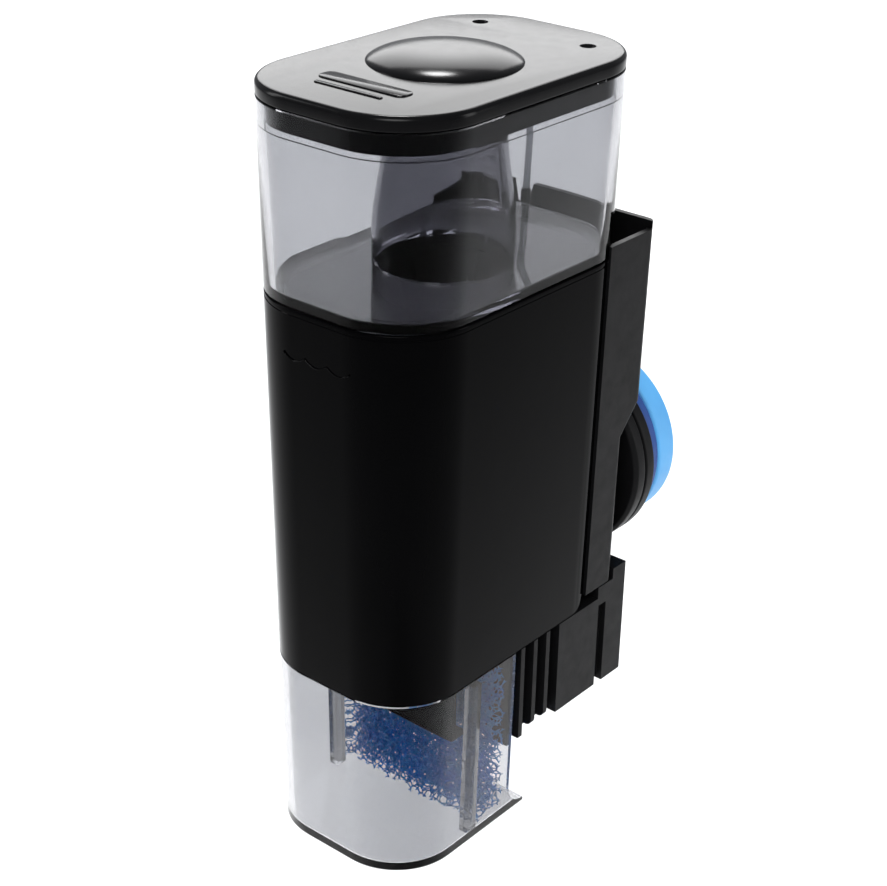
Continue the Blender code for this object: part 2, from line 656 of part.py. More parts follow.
def make_bubble_trap():
    """Clear lower box: closed floor, front and sides, open to the rear, with two sponge rails."""
    top = SLEEVE_BOTTOM - GAP
    collar_out = TANK_INSET + TANK_WALL + GAP
    collar_in = collar_out + 1.6 * MM
    collar_top = top + 6.5 * MM
    box = loft("bubble_trap", [
        body_ring(BOX_FLOOR, BOX_WALL), body_ring(top - 3 * MM, BOX_WALL), body_ring(top, collar_in),
        body_ring(collar_top, collar_in), body_ring(collar_top, collar_out), body_ring(top, collar_out),
        body_ring(top), body_ring(0.6 * MM), body_ring(0.0, 0.5 * MM),
    ], "clear")
    r = BOX_FLOOR_REAR - BOX_SIDE_REAR
    flare = arc((BOX_FLOOR_REAR, BOX_FLOOR + r), r, 180, 270, 5)
    far = DEPTH
    opening = [(BOX_SIDE_REAR, collar_top + MM)] + flare + [(far, BOX_FLOOR), (far, collar_top + MM)]
    cut(box, prism("rear_opening", opening, -WIDTH, WIDTH))
    cut(box, block("floor_end", (-WIDTH, BOX_FLOOR_REAR, -MM), (WIDTH, far, BOX_FLOOR + MM)))
    for side in (-1, 1):
        wall = WIDTH / 2 - draft_inset(0.0) - BOX_WALL + 0.6 * MM
        x0, x1 = sorted((side * (wall - 4.2 * MM), side * wall))
        join(box, block("rail", (x0, -18.4 * MM, BOX_FLOOR - 0.5 * MM), (x1, -14.2 * MM, top - 4 * MM)))
    return smooth(box)


def make_sponge():
    half = 28.6 * MM
    block("sponge", (-half, -13.8 * MM, BOX_FLOOR + GAP), (half, 0.2 * MM, 60.0 * MM), "blue_sponge")


# Magnetic holder ------------------------------------------------------------------------------------------


def make_holder():
    axle = (0, 0, HOLDER_Z)
    wall = SHAFT_LOWER_REAR
    boss = turned("holder_boss", [
        (0, wall - 4.4 * MM), (8.6 * MM, wall - 4.4 * MM), (8.6 * MM, wall - BODY_WALL - GAP),
        (6.0 * MM, wall - BODY_WALL - GAP), (6.0 * MM, wall + GAP), (13.0 * MM, wall + GAP),
        (13.0 * MM, CARRIER_FRONT - GAP), (0, CARRIER_FRONT - GAP),
    ], "satin_black", at=axle, steps=32, axis="Y")
    smooth(boss)
    r = CARRIER_RADIUS
    carrier = turned("magnet_carrier", [
        (0, CARRIER_FRONT), (r - 1.2 * MM, CARRIER_FRONT), (r, CARRIER_FRONT + 1.2 * MM),
        (r, CARRIER_REAR - 1.0 * MM), (r - 1.0 * MM, CARRIER_REAR), (24.3 * MM, CARRIER_REAR),
        (24.3 * MM, CARRIER_FRONT + 2.4 * MM), (0, CARRIER_FRONT + 2.4 * MM),
    ], "satin_black", at=axle, steps=48, axis="Y")
    smooth(carrier)
    smooth(rod("magnet_core", 24.0 * MM, CARRIER_FRONT + 2.7 * MM, CARRIER_REAR - 0.2 * MM, "ferrite",
               at=axle, steps=40, axis="Y"))
    p = PAD_RADIUS
    smooth(rod("pad_backing", p - 0.4 * MM, CARRIER_REAR + GAP, BACKING_REAR - GAP, "navy_rubber", at=axle,
               steps=48, axis="Y"))
    smooth(turned("buffer_pad", [
        (0, BACKING_REAR), (p - 0.8 * MM, BACKING_REAR), (p, BACKING_REAR + 0.8 * MM),
        (p, PAD_REAR - 1.2 * MM), (p - 1.2 * MM, PAD_REAR), (0, PAD_REAR),
    ], "blue_rubber", at=axle, steps=48, axis="Y"))


clear_scene()
unit = bpy.data.objects.new("unit_frame", None)
bpy.context.scene.collection.objects.link(unit)
unit.location = (0, -PAD_REAR, -HOLDER_Z)

make_lid()
make_foam_cup()
make_riser()
make_seals()
make_skimmer_body()
make_intake_shaft()
make_reaction_tube()
make_flow_baffle()
make_pump_housing()
make_pump_base()
make_motor()
make_rotor()
make_pump_front()
make_air_line()
make_bubble_trap()
make_sponge()
make_holder()
bpy.context.view_layer.update()
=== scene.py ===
import json
import math
from itertools import combinations, permutations, product

import bmesh
import bpy
import numpy as np
from mathutils import Euler, Matrix, Vector


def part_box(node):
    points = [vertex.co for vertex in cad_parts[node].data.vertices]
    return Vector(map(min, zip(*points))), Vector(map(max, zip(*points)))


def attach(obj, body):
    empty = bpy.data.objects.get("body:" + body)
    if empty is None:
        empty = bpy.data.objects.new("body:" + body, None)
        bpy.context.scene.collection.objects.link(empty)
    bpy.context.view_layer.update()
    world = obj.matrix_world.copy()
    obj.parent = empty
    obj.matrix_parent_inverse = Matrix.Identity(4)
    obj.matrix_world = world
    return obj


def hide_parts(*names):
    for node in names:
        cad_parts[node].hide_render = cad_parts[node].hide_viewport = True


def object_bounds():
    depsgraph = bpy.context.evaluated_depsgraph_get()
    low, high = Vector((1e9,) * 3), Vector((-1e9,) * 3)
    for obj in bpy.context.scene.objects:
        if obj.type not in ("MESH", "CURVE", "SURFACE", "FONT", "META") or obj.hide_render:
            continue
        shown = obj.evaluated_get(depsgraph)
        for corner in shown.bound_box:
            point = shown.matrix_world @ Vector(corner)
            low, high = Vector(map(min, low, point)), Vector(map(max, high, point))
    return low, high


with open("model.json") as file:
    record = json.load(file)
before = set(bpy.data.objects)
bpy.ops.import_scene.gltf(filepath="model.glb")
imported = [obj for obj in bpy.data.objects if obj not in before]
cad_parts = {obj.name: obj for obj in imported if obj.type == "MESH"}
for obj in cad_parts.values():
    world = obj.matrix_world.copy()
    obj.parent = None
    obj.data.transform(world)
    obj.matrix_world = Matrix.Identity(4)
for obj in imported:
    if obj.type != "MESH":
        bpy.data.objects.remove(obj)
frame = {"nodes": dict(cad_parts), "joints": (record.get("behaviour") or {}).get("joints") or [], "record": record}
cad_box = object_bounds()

MM = 0.001

# GAP is kept between separate mouldings, and TOUCH between pieces that lie against each other
GAP = 0.3 * MM
TOUCH = 0.03 * MM

# Noise values at which a colour or roughness is at its low and at its high
NOISE_LOW, NOISE_HIGH = 0.3, 0.7

# The unit's own axis: z = 0 under the lower box, x = y = 0 in the middle of the lid
lid_low, lid_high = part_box("lid")
box_low, box_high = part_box("bubble_trap")
AXIS = Vector((0, (lid_low.y + lid_high.y) / 2, box_low.z))


def height(point):
    return point.z - AXIS.z


def depth(point):
    return point.y - AXIS.y


# Moulded outline; DRAFT is how far it moves in for each metre below the lid's top
WIDTH = 71.0 * MM
DEPTH = 110.0 * MM
FRONT_RADIUS = 26.0 * MM
REAR_RADIUS = 25.0 * MM
DRAFT = 0.0168
CORNER_STEPS = 20

# Heights
DOME_HEIGHT = 3.6 * MM
DOME_RADIUS = 22.4 * MM
LID_TOP = height(lid_high) - DOME_HEIGHT
LID_RIM = LID_TOP - 4.4 * MM
SKIRT_BOTTOM = height(lid_low)
CUP_LEDGE = 232.3 * MM
SEAM = height(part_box("skimmer_body")[1])
SLEEVE_BOTTOM = height(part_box("skimmer_body")[0])

# Walls
CUP_WALL = 2.2 * MM
BODY_WALL = 1.8 * MM
TANK_INSET = 2.5 * MM
TANK_WALL = 1.8 * MM
BOX_WALL = 2.2 * MM

# Riser and reaction tube
RISER_INNER = 19.8 * MM
RISER_WALL = 1.4 * MM
RISER_FLARE = 3.6 * MM
RISER_TAPER = 194 * MM
RISER_BOTTOM = height(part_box("riser_tube")[0])
RISER_TOP = height(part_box("riser_tube")[1])
REACTION_OUTER = 18.6 * MM
REACTION_INNER = 16.8 * MM
REACTION_BOTTOM = height(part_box("reaction_tube")[0])
REACTION_TOP = height(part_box("reaction_tube")[1])

# Intake shaft
SLEEVE_REAR = 37.2 * MM
SHAFT_UPPER_REAR = depth(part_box("intake_shaft")[1])
SHAFT_LOWER_REAR = 52.0 * MM
SHAFT_STEP_TOP = 130.0 * MM
SHAFT_STEP_BOTTOM = 120.0 * MM
SHAFT_BOTTOM = height(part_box("intake_shaft")[0])
SHAFT_SIDE_TOP = 188.0 * MM
SHAFT_REAR_TOP = height(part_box("intake_shaft")[1])
TANK_LOWER_REAR = 44.0 * MM

# Pump housing
HOUSING_CORE = 28.6 * MM
HOUSING_FACE = 32.6 * MM
HOUSING_FRONT = depth(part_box("pump_housing")[0])
HOUSING_REAR = depth(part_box("pump_housing")[1])
HOUSING_BOTTOM = 28.5 * MM
HOUSING_WALL = 2.1 * MM
FRONT_WALL = 1.5 * MM
BLOCK_FRONT = 23.4 * MM
BLOCK_REAR = 45.0 * MM
GROOVE_REAR = 49.0 * MM
RIBS = 3
RIB_PITCH = 6.5 * MM
FIRST_RIB = 3.6 * MM
RIB_THICKNESS = 2.0 * MM
STRAINER_OFFSET = 0.9 * MM
STRAINER_WIDTH = 2.4 * MM
OUTLET_Y = 10.5 * MM
OUTLET_RADIUS = 5.8 * MM

# Lower box
BOX_SIDE_REAR = 1.0 * MM
BOX_FLOOR_REAR = depth(box_high)
BOX_FLOOR = 2.0 * MM

# Holder, its axis along Y through the frame's origin
HOLDER_Z = -AXIS.z
HOLDER_AXLE = (0, 0, HOLDER_Z)


# Meshes ---------------------------------------------------------------------------------------------------


def make_object(name, bm, at=(0, 0, 0)):
    """Link bm as an object whose mesh lies in the row frame; at is a point of the unit's own frame."""
    bmesh.ops.translate(bm, verts=bm.verts, vec=AXIS + Vector(at))
    bmesh.ops.recalc_face_normals(bm, faces=bm.faces)
    mesh = bpy.data.meshes.new(name)
    bm.to_mesh(mesh)
    bm.free()
    obj = bpy.data.objects.new(name, mesh)
    bpy.context.scene.collection.objects.link(obj)
    return obj


def apply_modifiers(obj):
    """Bake the modifiers into the mesh, and drop the objects that they read."""
    tools = [m.object for m in obj.modifiers if m.type == "BOOLEAN"]
    bpy.context.view_layer.update()
    evaluated = obj.evaluated_get(bpy.context.evaluated_depsgraph_get())
    mesh = bpy.data.meshes.new_from_object(evaluated)
    obj.modifiers.clear()
    obj.data = mesh
    for tool in tools:
        bpy.data.objects.remove(tool, do_unlink=True)
    return obj


def boolean(obj, tool, operation):
    modifier = obj.modifiers.new(operation, "BOOLEAN")
    modifier.object = tool
    modifier.operation = operation
    modifier.solver = "EXACT"
    apply_modifiers(obj)
    if not obj.data.polygons:
        raise ValueError(obj.name + " came out of its " + operation + " empty")
    return obj


def cut(obj, *tools):
    for tool in tools:
        boolean(obj, tool, "DIFFERENCE")
    return obj


def join(obj, *tools):
    for tool in tools:
        boolean(obj, tool, "UNION")
    return obj


def smooth(obj, angle=32.0):
    obj.data.shade_smooth()
    obj.data.set_sharp_from_angle(angle=math.radians(angle))
    return obj


def soften(obj, width, segments=3):
    """Round the hard edges of a moulding, and keep its flats flat in the shading."""
    bevel = obj.modifiers.new("edges", "BEVEL")
    bevel.width = width
    bevel.segments = segments
    bevel.limit_method = "ANGLE"
    bevel.angle_limit = math.radians(38.0)
    bevel.use_clamp_overlap = True
    bevel.miter_outer = "MITER_ARC"
    apply_modifiers(obj)
    smooth(obj, 50.0)
    weighted = obj.modifiers.new("normals", "WEIGHTED_NORMAL")
    weighted.keep_sharp = True
    weighted.weight = 70
    return apply_modifiers(obj)


def draft_inset(z):
    return DRAFT * (LID_TOP - z)


def arc(center, radius, start, end, steps):
    """Points of an arc, from one angle to another in degrees."""
    angles = [math.radians(start + (end - start) * i / steps) for i in range(steps + 1)]
    return [(center[0] + radius * math.cos(a), center[1] + radius * math.sin(a)) for a in angles]


def outline(inset=0.0, rear=None):
    """Rounded rectangle of the moulded body in plan, moved in by inset; rear replaces its rear edge."""
    half = WIDTH / 2 - inset
    front = -DEPTH / 2 + inset
    back = DEPTH / 2 - inset if rear is None else rear
    fr = FRONT_RADIUS - inset
    rr = REAR_RADIUS - inset
    n = CORNER_STEPS
    return (
        arc((half - rr, back - rr), rr, 0, 90, n)
        + arc((-half + rr, back - rr), rr, 90, 180, n)
        + arc((-half + fr, front + fr), fr, 180, 270, n)
        + arc((half - fr, front + fr), fr, 270, 360, n)
    )


def body_ring(z, inset=0.0, rear=None):
    return [(x, y, z) for x, y in outline(draft_inset(z) + inset, rear)]


def fillet(z, inset, radius, start, end, steps=5):
    """Rings round a moulded edge: an arc in section about the point (inset, z), inset growing inwards."""
    return [body_ring(z + radius * math.sin(math.radians(a)), inset - radius * math.cos(math.radians(a)))
            for a in (start + (end - start) * i / steps for i in range(steps + 1))]


def loft(name, rings, caps=True):
    """Skin a list of rings of equal count; caps close the first and last ring, else the rings form a loop."""
    bm = bmesh.new()
    levels = [[bm.verts.new(p) for p in ring] for ring in rings]
    pairs = list(zip(levels, levels[1:]))
    if not caps:
        pairs.append((levels[-1], levels[0]))
    for low, high in pairs:
        for i in range(len(low)):
            j = (i + 1) % len(low)
            bm.faces.new((low[i], low[j], high[j], high[i]))
    if caps:
        bm.faces.new(levels[0])
        bm.faces.new(levels[-1])
    return make_object(name, bm)


def turned(name, profile, at=(0, 0, 0), steps=96, axis="Z"):
    """Closed solid turned about Z or Y from a closed profile of (radius, height); radius 0 is on the axis."""
    bm = bmesh.new()
    poles = {k: bm.verts.new((0, 0, profile[k][1])) for k in range(len(profile)) if profile[k][0] == 0}
    columns = []
    for i in range(steps):
        a = 2 * math.pi * i / steps
        columns.append([poles[k] if k in poles else bm.verts.new((r * math.cos(a), r * math.sin(a), h))
                        for k, (r, h) in enumerate(profile)])
    for a, b in zip(columns, columns[1:] + columns[:1]):
        for k in range(len(profile)):
            m = (k + 1) % len(profile)
            corners = list(dict.fromkeys((a[k], b[k], b[m], a[m])))
            if len(corners) > 2:
                bm.faces.new(corners)
    if axis == "Y":
        bmesh.ops.rotate(bm, verts=bm.verts, matrix=Matrix.Rotation(math.radians(-90), 3, "X"))
    return make_object(name, bm, at)


def rounded_profile(points, radius, steps=4):
    """A closed profile with its corners rounded, but for those on the turning axis."""
    result = []
    count = len(points)
    for i, here in enumerate(points):
        p = Vector(here)
        if here[0] == 0:
            result.append(tuple(p))
            continue
        before = Vector(points[i - 1]) - p
        after = Vector(points[(i + 1) % count]) - p
        reach = min(radius, 0.45 * before.length, 0.45 * after.length)
        a, b = p + before.normalized() * reach, p + after.normalized() * reach
        for k in range(steps + 1):
            t = k / steps
            result.append(tuple(a * (1 - t) ** 2 + p * 2 * t * (1 - t) + b * t ** 2))
    return result


def ring_piece(name, outer, inner, low, high, at=(0, 0, 0), steps=64):
    profile = [(outer, low), (outer, high), (inner, high), (inner, low)]
    return smooth(turned(name, rounded_profile(profile, 0.2 * MM, 3), at, steps))


def rod(name, radius, low, high, at=(0, 0, 0), steps=64, axis="Z"):
    return turned(name, [(0, low), (radius, low), (radius, high), (0, high)], at, steps, axis)


def block(name, low, high):
    bm = bmesh.new()
    bmesh.ops.create_cube(bm, size=1.0)
    low, high = Vector(low), Vector(high)
    bmesh.ops.scale(bm, verts=bm.verts, vec=high - low)
    bmesh.ops.translate(bm, verts=bm.verts, vec=(high + low) / 2)
    return make_object(name, bm)


def prism(name, points, low, high, axis="X"):
    """A flat polygon pushed along an axis: (y, z) points along X, (x, z) points along Y."""
    if axis == "X":
        rings = [[(level, a, b) for a, b in points] for level in (low, high)]
    else:
        rings = [[(a, level, b) for a, b in points] for level in (low, high)]
    return loft(name, rings)


def round_length(name, points, radius, sides=16):
    """Solid round length along points; its rings turn as little as possible from one to the next."""
    bm = bmesh.new()
    rings = []
    normal = None
    for i, p in enumerate(points):
        tangent = (points[min(i + 1, len(points) - 1)] - points[max(i - 1, 0)]).normalized()
        normal = tangent.orthogonal() if normal is None else normal - tangent * normal.dot(tangent)
        normal.normalize()
        other = tangent.cross(normal)
        rings.append([bm.verts.new(p + radius * (normal * math.cos(a) + other * math.sin(a)))
                      for a in (2 * math.pi * k / sides for k in range(sides))])
    for low, high in zip(rings, rings[1:]):
        for k in range(sides):
            m = (k + 1) % sides
            bm.faces.new((low[k], low[m], high[m], high[k]))
    bm.faces.new(rings[0])
    bm.faces.new(rings[-1])
    return smooth(make_object(name, bm))


def catmull_rom(points, per_span):
    """A smooth curve through the points, in so many steps from each one to the next."""
    ends = [points[0] * 2 - points[1]] + points + [points[-1] * 2 - points[-2]]
    result = []
    for a, b, c, d in zip(ends, ends[1:], ends[2:], ends[3:]):
        for i in range(per_span):
            t = i / per_span
            result.append(0.5 * (2 * b + (c - a) * t + (2 * a - 5 * b + 4 * c - d) * t**2
                                 + (3 * b - a - 3 * c + d) * t**3))
    return result + [points[-1]]


# Materials ------------------------------------------------------------------------------------------------


class Look:
    """A node material on a Principled shader, with helpers for its procedural detail."""

    def __init__(self, name, **values):
        self.material = bpy.data.materials.new(name)
        self.material.use_nodes = True
        self.tree = self.material.node_tree
        self.shader = self.tree.nodes["Principled BSDF"]
        for key, value in values.items():
            self.shader.inputs[key.replace("_", " ")].default_value = value
        self.place = self.tree.nodes.new("ShaderNodeTexCoord").outputs["Object"]

    def node(self, kind, **inputs):
        node = self.tree.nodes.new(kind)
        for key, value in inputs.items():
            node.inputs[key.replace("_", " ")].default_value = value
        return node

    def noise(self, scale, detail=3.0, roughness=0.5, stretch=None):
        source = self.place
        if stretch:
            mapping = self.node("ShaderNodeMapping", Scale=stretch)
            self.tree.links.new(source, mapping.inputs["Vector"])
            source = mapping.outputs["Vector"]
        noise = self.node("ShaderNodeTexNoise", Scale=scale, Detail=detail, Roughness=roughness)
        self.tree.links.new(source, noise.inputs["Vector"])
        return noise.outputs["Fac"]

    def spread(self, source, low, high):
        """Let the roughness follow a noise, from low to high."""
        spread = self.node("ShaderNodeMapRange", From_Min=NOISE_LOW, From_Max=NOISE_HIGH,
                           To_Min=low, To_Max=high)
        self.tree.links.new(source, spread.inputs["Value"])
        self.tree.links.new(spread.outputs["Result"], self.shader.inputs["Roughness"])
        return self

    def color(self, source, low, high):
        """Let the base colour follow a noise, from low to high."""
        ramp = self.node("ShaderNodeValToRGB")
        first, last = ramp.color_ramp.elements
        first.position, last.position = NOISE_LOW, NOISE_HIGH
        first.color, last.color = (*low, 1.0), (*high, 1.0)
        self.tree.links.new(source, ramp.inputs["Fac"])
        self.tree.links.new(ramp.outputs["Color"], self.shader.inputs["Base Color"])
        return self

    def bump(self, source, strength, distance):
        """Add a bump, on top of any that is there."""
        bump = self.node("ShaderNodeBump", Strength=strength, Distance=distance)
        self.tree.links.new(source, bump.inputs["Height"])
        normal = self.shader.inputs["Normal"]
        if normal.is_linked:
            self.tree.links.new(normal.links[0].from_socket, bump.inputs["Normal"])
        self.tree.links.new(bump.outputs["Normal"], normal)
        return self


def gloss_black():
    look = Look("gloss_black", Specular_IOR_Level=0.026, IOR=1.46)
    look.color(look.noise(18, 4), (0.0004, 0.0004, 0.0005), (0.0010, 0.0010, 0.0012))
    look.spread(look.noise(120, 5, 0.6), 0.055, 0.11)
    look.bump(look.noise(55, 2), 0.10, 0.0004)
    return look.bump(look.noise(2600, 2), 0.05, 0.00005).material


def lid_black():
    look = Look("lid_black", Specular_IOR_Level=0.10, IOR=1.5)
    look.color(look.noise(22, 4), (0.0022, 0.0022, 0.0025), (0.0040, 0.0040, 0.0044))
    look.spread(look.noise(260, 5, 0.6), 0.165, 0.195)
    return look.bump(look.noise(2200, 3), 0.12, 0.00005).material


def satin_black():
    look = Look("satin_black", Specular_IOR_Level=0.10, IOR=1.48)
    look.color(look.noise(30, 5, 0.6), (0.0030, 0.0030, 0.0033), (0.0056, 0.0056, 0.0061))
    look.spread(look.noise(220, 5, 0.65), 0.36, 0.50)
    look.bump(look.noise(2400, 4, 0.6), 0.22, 0.00008)
    return look.bump(look.noise(90, 2), 0.10, 0.0003).material


def tinted(name, low, high, roughness):
    """Clear plastic: faint flow lines, a little haze and a tint.

    Its IOR and reflection are lower than a real plastic's, to keep the walls as clear as the photograph's.
    """
    look = Look(name, Transmission_Weight=1.0, IOR=1.38, Specular_Tint=(0.12, 0.12, 0.12, 1.0))
    look.color(look.noise(14, 3), low, high)
    look.spread(look.noise(240, 5, 0.65), roughness, roughness + 0.008)
    return look.bump(look.noise(40, 2, stretch=(1, 1, 0.25)), 0.06, 0.0004).material


def foam_blue():
    look = Look("foam_blue", Transmission_Weight=0.50, Specular_IOR_Level=0.9, IOR=1.45)
    look.color(look.noise(160, 4), (0.010, 0.285, 0.98), (0.060, 0.500, 1.0))
    look.spread(look.noise(900, 3), 0.12, 0.24)
    return look.bump(look.noise(4000, 2), 0.15, 0.00005).material


def rubber(name, low, high, rough_low=0.42, rough_high=0.62, grain=0.2):
    look = Look(name, Specular_IOR_Level=0.4, IOR=1.5)
    look.color(look.noise(45, 5, 0.6), low, high)
    look.spread(look.noise(300, 5, 0.65), rough_low, rough_high)
    return look.bump(look.noise(1800, 4, 0.6), grain, 0.0001).material


def ceramic():
    look = Look("ceramic", Specular_IOR_Level=0.6, IOR=1.6)
    look.color(look.noise(400, 3), (0.76, 0.75, 0.70), (0.86, 0.85, 0.81))
    look.spread(look.noise(900, 3), 0.16, 0.26)
    return look.bump(look.noise(5000, 2), 0.05, 0.00003).material


def ferrite():
    look = Look("ferrite", Metallic=0.35, Specular_IOR_Level=0.5)
    look.color(look.noise(800, 5, 0.7), (0.030, 0.030, 0.033), (0.085, 0.085, 0.092))
    look.spread(look.noise(500, 5, 0.7), 0.40, 0.62)
    return look.bump(look.noise(2600, 5, 0.7), 0.35, 0.0001).material


def silicone():
    look = Look("silicone", Transmission_Weight=0.55, IOR=1.41, Specular_IOR_Level=0.5)
    look.color(look.noise(60, 3), (0.70, 0.73, 0.74), (0.82, 0.85, 0.86))
    look.spread(look.noise(300, 4), 0.22, 0.34)
    return look.bump(look.noise(900, 3), 0.12, 0.0001).material


LOOKS = {
    "gloss_black": gloss_black(),
    "lid_black": lid_black(),
    "satin_black": satin_black(),
    "smoke_clear": tinted("smoke_clear", (0.515, 0.52, 0.54), (0.555, 0.56, 0.58), 0.0),
    # Darker copy of smoke_clear for the riser, which is moulded with the cup: its extra darkness is painted shade.
    "smoke_shaded": tinted("smoke_shaded", (0.37, 0.37, 0.40), (0.43, 0.43, 0.46), 0.0),
    "clear": tinted("clear", (0.56, 0.565, 0.58), (0.60, 0.605, 0.62), 0.0),
    # Greyer copy of clear for the rails, which are moulded with the box: its darker tint is painted shade.
    "clear_shaded": tinted("clear_shaded", (0.34, 0.34, 0.35), (0.40, 0.40, 0.41), 0.04),
    "blue_sponge": foam_blue(),
    "blue_rubber": rubber("blue_rubber", (0.09, 0.385, 0.79), (0.12, 0.455, 0.87), 0.38, 0.52, 0.10),
    "navy_rubber": rubber("navy_rubber", (0.008, 0.05, 0.22), (0.015, 0.07, 0.30)),
    "black_rubber": rubber("black_rubber", (0.009, 0.009, 0.009), (0.018, 0.018, 0.018)),
    "ceramic": ceramic(),
    "ferrite": ferrite(),
    "red_plastic": rubber("red_plastic", (0.46, 0.020, 0.012), (0.58, 0.032, 0.020), 0.22, 0.34, 0.05),
    "hose": silicone(),
}


def finish_piece(obj, body, slot, *nodes, look=None):
    """Give a piece its material, from the look or else the slot, and its body, and hide the CAD nodes that it
    stands for.
    """
    obj.data.materials.clear()
    obj.data.materials.append(LOOKS[look or slot])
    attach(obj, body)
    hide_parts(*nodes)
    return obj


# Lid and foam cup -----------------------------------------------------------------------------------------


def dome_profile():
    """The lid's round swell: nearly flat on top, and ever steeper towards its foot."""
    points = [(0, LID_TOP - MM), (DOME_RADIUS, LID_TOP - MM)]
    foot = LID_TOP + 0.06 * MM
    rise = LID_TOP + DOME_HEIGHT - foot
    steps = 30
    for i in range(steps):
        share = math.cos(math.pi / 2 * i / steps)
        points.append((DOME_RADIUS * share, foot + rise * (1 - share**3.4) ** 0.78))
    return points + [(0, foot + rise)]


def make_lid():
    skirt_out = CUP_WALL + 2 * GAP
    skirt_in = skirt_out + 2.0 * MM
    rings = [
        body_ring(LID_RIM + 2.0 * MM, skirt_in),
        body_ring(SKIRT_BOTTOM, skirt_in),
        body_ring(SKIRT_BOTTOM, skirt_out),
        body_ring(LID_RIM, skirt_out),
        body_ring(LID_RIM, 0.6 * MM),
    ]
    rings += fillet(LID_RIM + 0.5 * MM, 0.5 * MM, 0.5 * MM, -80, 0)
    rings += fillet(LID_TOP - 1.7 * MM, 1.7 * MM, 1.7 * MM, 0, 90, 9)
    lid = join(loft("lid_shell", rings), turned("dome", dome_profile(), steps=128))
    vent_x, vent_y, bore, flare = 20 * MM, 40.2 * MM, 1.6 * MM, 2.6 * MM
    for x in (-vent_x, vent_x):
        cut(lid, turned("vent", [
            (0, LID_RIM - MM), (bore, LID_RIM - MM), (bore, LID_TOP - 1.2 * MM),
            (flare, LID_TOP + 0.2 * MM), (0, LID_TOP + 0.2 * MM),
        ], at=(x, vent_y, 0), steps=48))
    finish_piece(smooth(lid, 28.0), "lid", "gloss_black", "lid", look="lid_black")


def make_lid_plate():
    """Plain raised plate and bar near the lid's front edge."""
    for name, half_x, y, half_y in (("plate", 15.5, -33.2, 3.1), ("bar", 12.0, -40.0, 0.8)):
        r = 0.75 * half_y * MM
        x, half = half_x * MM, half_y * MM
        corners = ((x - r, half - r), (r - x, half - r), (r - x, r - half), (x - r, r - half))
        plan = [p for i, corner in enumerate(corners) for p in arc(corner, r, 90 * i, 90 * i + 90, 8)]

        def ring(z, inset):
            return [(px * (1 - inset / x), y * MM + py * (1 - inset / half), z) for px, py in plan]

        top = LID_TOP + 0.35 * MM
        piece = loft("lid_" + name, [ring(LID_TOP + 0.02 * MM, 0), ring(top - 0.15 * MM, 0.0),
                                     ring(top, 0.18 * MM)])
        finish_piece(smooth(piece, 60.0), "lid", "gloss_black", look="lid_black")


def riser_radius(t):
    """Outer radius of the riser above its straight foot, t from 0 to 1."""
    return RISER_INNER + RISER_WALL - RISER_FLARE * (t * t * (3 - 2 * t))


def make_riser():
    top = RISER_TOP - RISER_WALL / 2
    steps = 14
    outer = [(RISER_INNER + RISER_WALL, RISER_BOTTOM)]
    outer += [(riser_radius(i / steps), RISER_TAPER + (top - RISER_TAPER) * i / steps)
              for i in range(steps + 1)]
    rim = arc((outer[-1][0] - RISER_WALL / 2, top), RISER_WALL / 2, 0, 180, 6)[1:-1]
    inner = [(r - RISER_WALL, z) for r, z in reversed(outer)]
    riser = turned("riser_cone", outer + rim + inner, steps=128)
    # The riser takes a darker tint than the cup it is moulded with: painted shade.
    finish_piece(smooth(riser), "foam_cup", "smoke_clear", "riser_tube", look="smoke_shaded")


def make_foam_cup():
    floor_low = SEAM + GAP
    floor_high = floor_low + 2.0 * MM
    spigot_out = TANK_INSET + TANK_WALL + 1.4 * MM
    spigot_in = spigot_out + 1.6 * MM
    spigot_low = SEAM - 5.0 * MM
    lower_wall = CUP_WALL + 0.4 * MM
    rings = fillet(floor_high + 0.8 * MM, lower_wall + 0.8 * MM, 0.8 * MM, -90, 0, 5)
    rings += [
        body_ring(CUP_LEDGE, lower_wall),
        body_ring(CUP_LEDGE + 0.4 * MM, CUP_WALL),
        body_ring(LID_RIM - GAP, CUP_WALL),
        body_ring(LID_RIM - GAP, 0.3 * MM),
        body_ring(LID_RIM - GAP - 0.3 * MM, 0.0),
        body_ring(floor_low + 0.4 * MM, 0.0),
        body_ring(floor_low, 0.4 * MM),
        body_ring(floor_low, spigot_out),
        body_ring(spigot_low, spigot_out),
        body_ring(spigot_low, spigot_in),
        body_ring(floor_low, spigot_in),
    ]
    cup = loft("cup_shell", rings)
    bore = RISER_INNER + RISER_WALL + TOUCH
    cut(cup, rod("bore", bore, floor_low - 2 * MM, floor_high + 2 * MM, steps=128))
    finish_piece(smooth(cup), "foam_cup", "smoke_clear", "foam_cup")


def make_seals():
    low, high = height(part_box("riser_seal")[0]), height(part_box("riser_seal")[1])
    seal = ring_piece("riser_ring", RISER_INNER - GAP, REACTION_OUTER + GAP, low, high, steps=96)
    finish_piece(seal, "housing", "black_rubber", "riser_seal")
    low, high = height(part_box("cup_gasket")[0]), height(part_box("cup_gasket")[1])
    middle = (low + high) / 2
    inset = TANK_INSET + TANK_WALL + 0.7 * MM
    section = [(inset + 0.4 * MM * math.cos(a), middle + 0.9 * MM * math.sin(a))
               for a in (2 * math.pi * i / 14 for i in range(14))]
    gasket = loft("gasket_ring", [body_ring(z, i) for i, z in section], caps=False)
    finish_piece(smooth(gasket, 60.0), "foam_cup", "black_rubber", "cup_gasket")


# Skimmer body ---------------------------------------------------------------------------------------------


